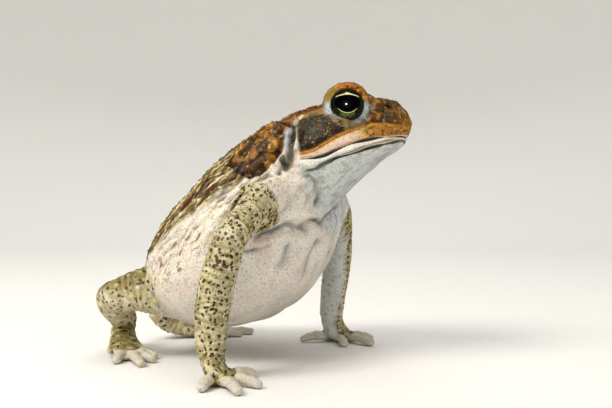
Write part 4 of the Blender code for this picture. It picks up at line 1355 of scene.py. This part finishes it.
def soft_box(name, place, size, power, warmth, shine, only):
    """A square lamp that faces the toad. It may light only some things, and may leave no highlights."""
    lamp = bpy.data.lights.new(name, "AREA")
    lamp.size = size
    lamp.energy = power
    lamp.color = warmth
    lit = bpy.data.objects.new(name, lamp)
    lit.matrix_world = aimed(place, middle - place)
    lit.visible_camera = False
    lit.visible_glossy = shine
    if only:
        lit.light_linking.receiver_collection = only
    bpy.context.scene.collection.objects.link(lit)


# The key lamp leaves out the eyes, so that no window of light lies over them. The spark
# lights only the eyes, and the card lamp only the card.
light_groups = {}
for name, members in (("dry_things", (skin, card)), ("wet_things", eyes), ("backdrop", (card,))):
    light_groups[name] = bpy.data.collections.new(name)
    for member in members:
        light_groups[name].objects.link(member)
for name, ways, size, power, warmth, shine, only in (
    ("key", (0.45, -0.5, 0.7), 0.4, 9, (1, 0.97, 0.92), True, "dry_things"),
    ("fill", (0.5, 0.9, 0.35), 0.9, 1.5, (0.9, 0.95, 1), False, None),
    ("rim", (-0.8, 0, 0.8), 0.8, 3, (1, 1, 1), False, None),
    ("spark", (0.33, 0, 0.07), 0.03, 0.8, (1, 1, 1), True, "wet_things"),
    ("card_light", (0, 0, 2), 2, 22, (1, 1, 1), False, "backdrop"),
):
    place = middle + back_way * ways[0] + right_way * ways[1] + up_way * ways[2]
    soft_box(name, place, size, power, warmth, shine, light_groups.get(only))
world = bpy.data.worlds.new("studio")
world.use_nodes = True
world.node_tree.nodes["Background"].inputs["Color"].default_value = (0.9, 0.94, 1, 1)
world.node_tree.nodes["Background"].inputs["Strength"].default_value = 0.24
world.cycles_visibility.glossy = False
card.visible_glossy = False
bpy.context.scene.world = world
bpy.context.scene.view_settings.view_transform = "Standard"

# The camera
# Low and level, about 30 cm from the toad's right side, as the photograph was taken.
CAMERA_AWAY, CAMERA_ASIDE, CAMERA_HEIGHT = 0.314, 0.0152, 0.058
camera_data = bpy.data.cameras.new("camera")
camera_data.lens = 48
camera_data.sensor_width = 36
camera_data.clip_start = 0.01
camera = bpy.data.objects.new("camera", camera_data)
spot = Vector((shift[0], shift[1], CAMERA_HEIGHT)) + back_way * CAMERA_AWAY + right_way * CAMERA_ASIDE
camera.matrix_world = aimed(spot, -back_way)
bpy.context.scene.collection.objects.link(camera)
bpy.context.scene.camera = camera
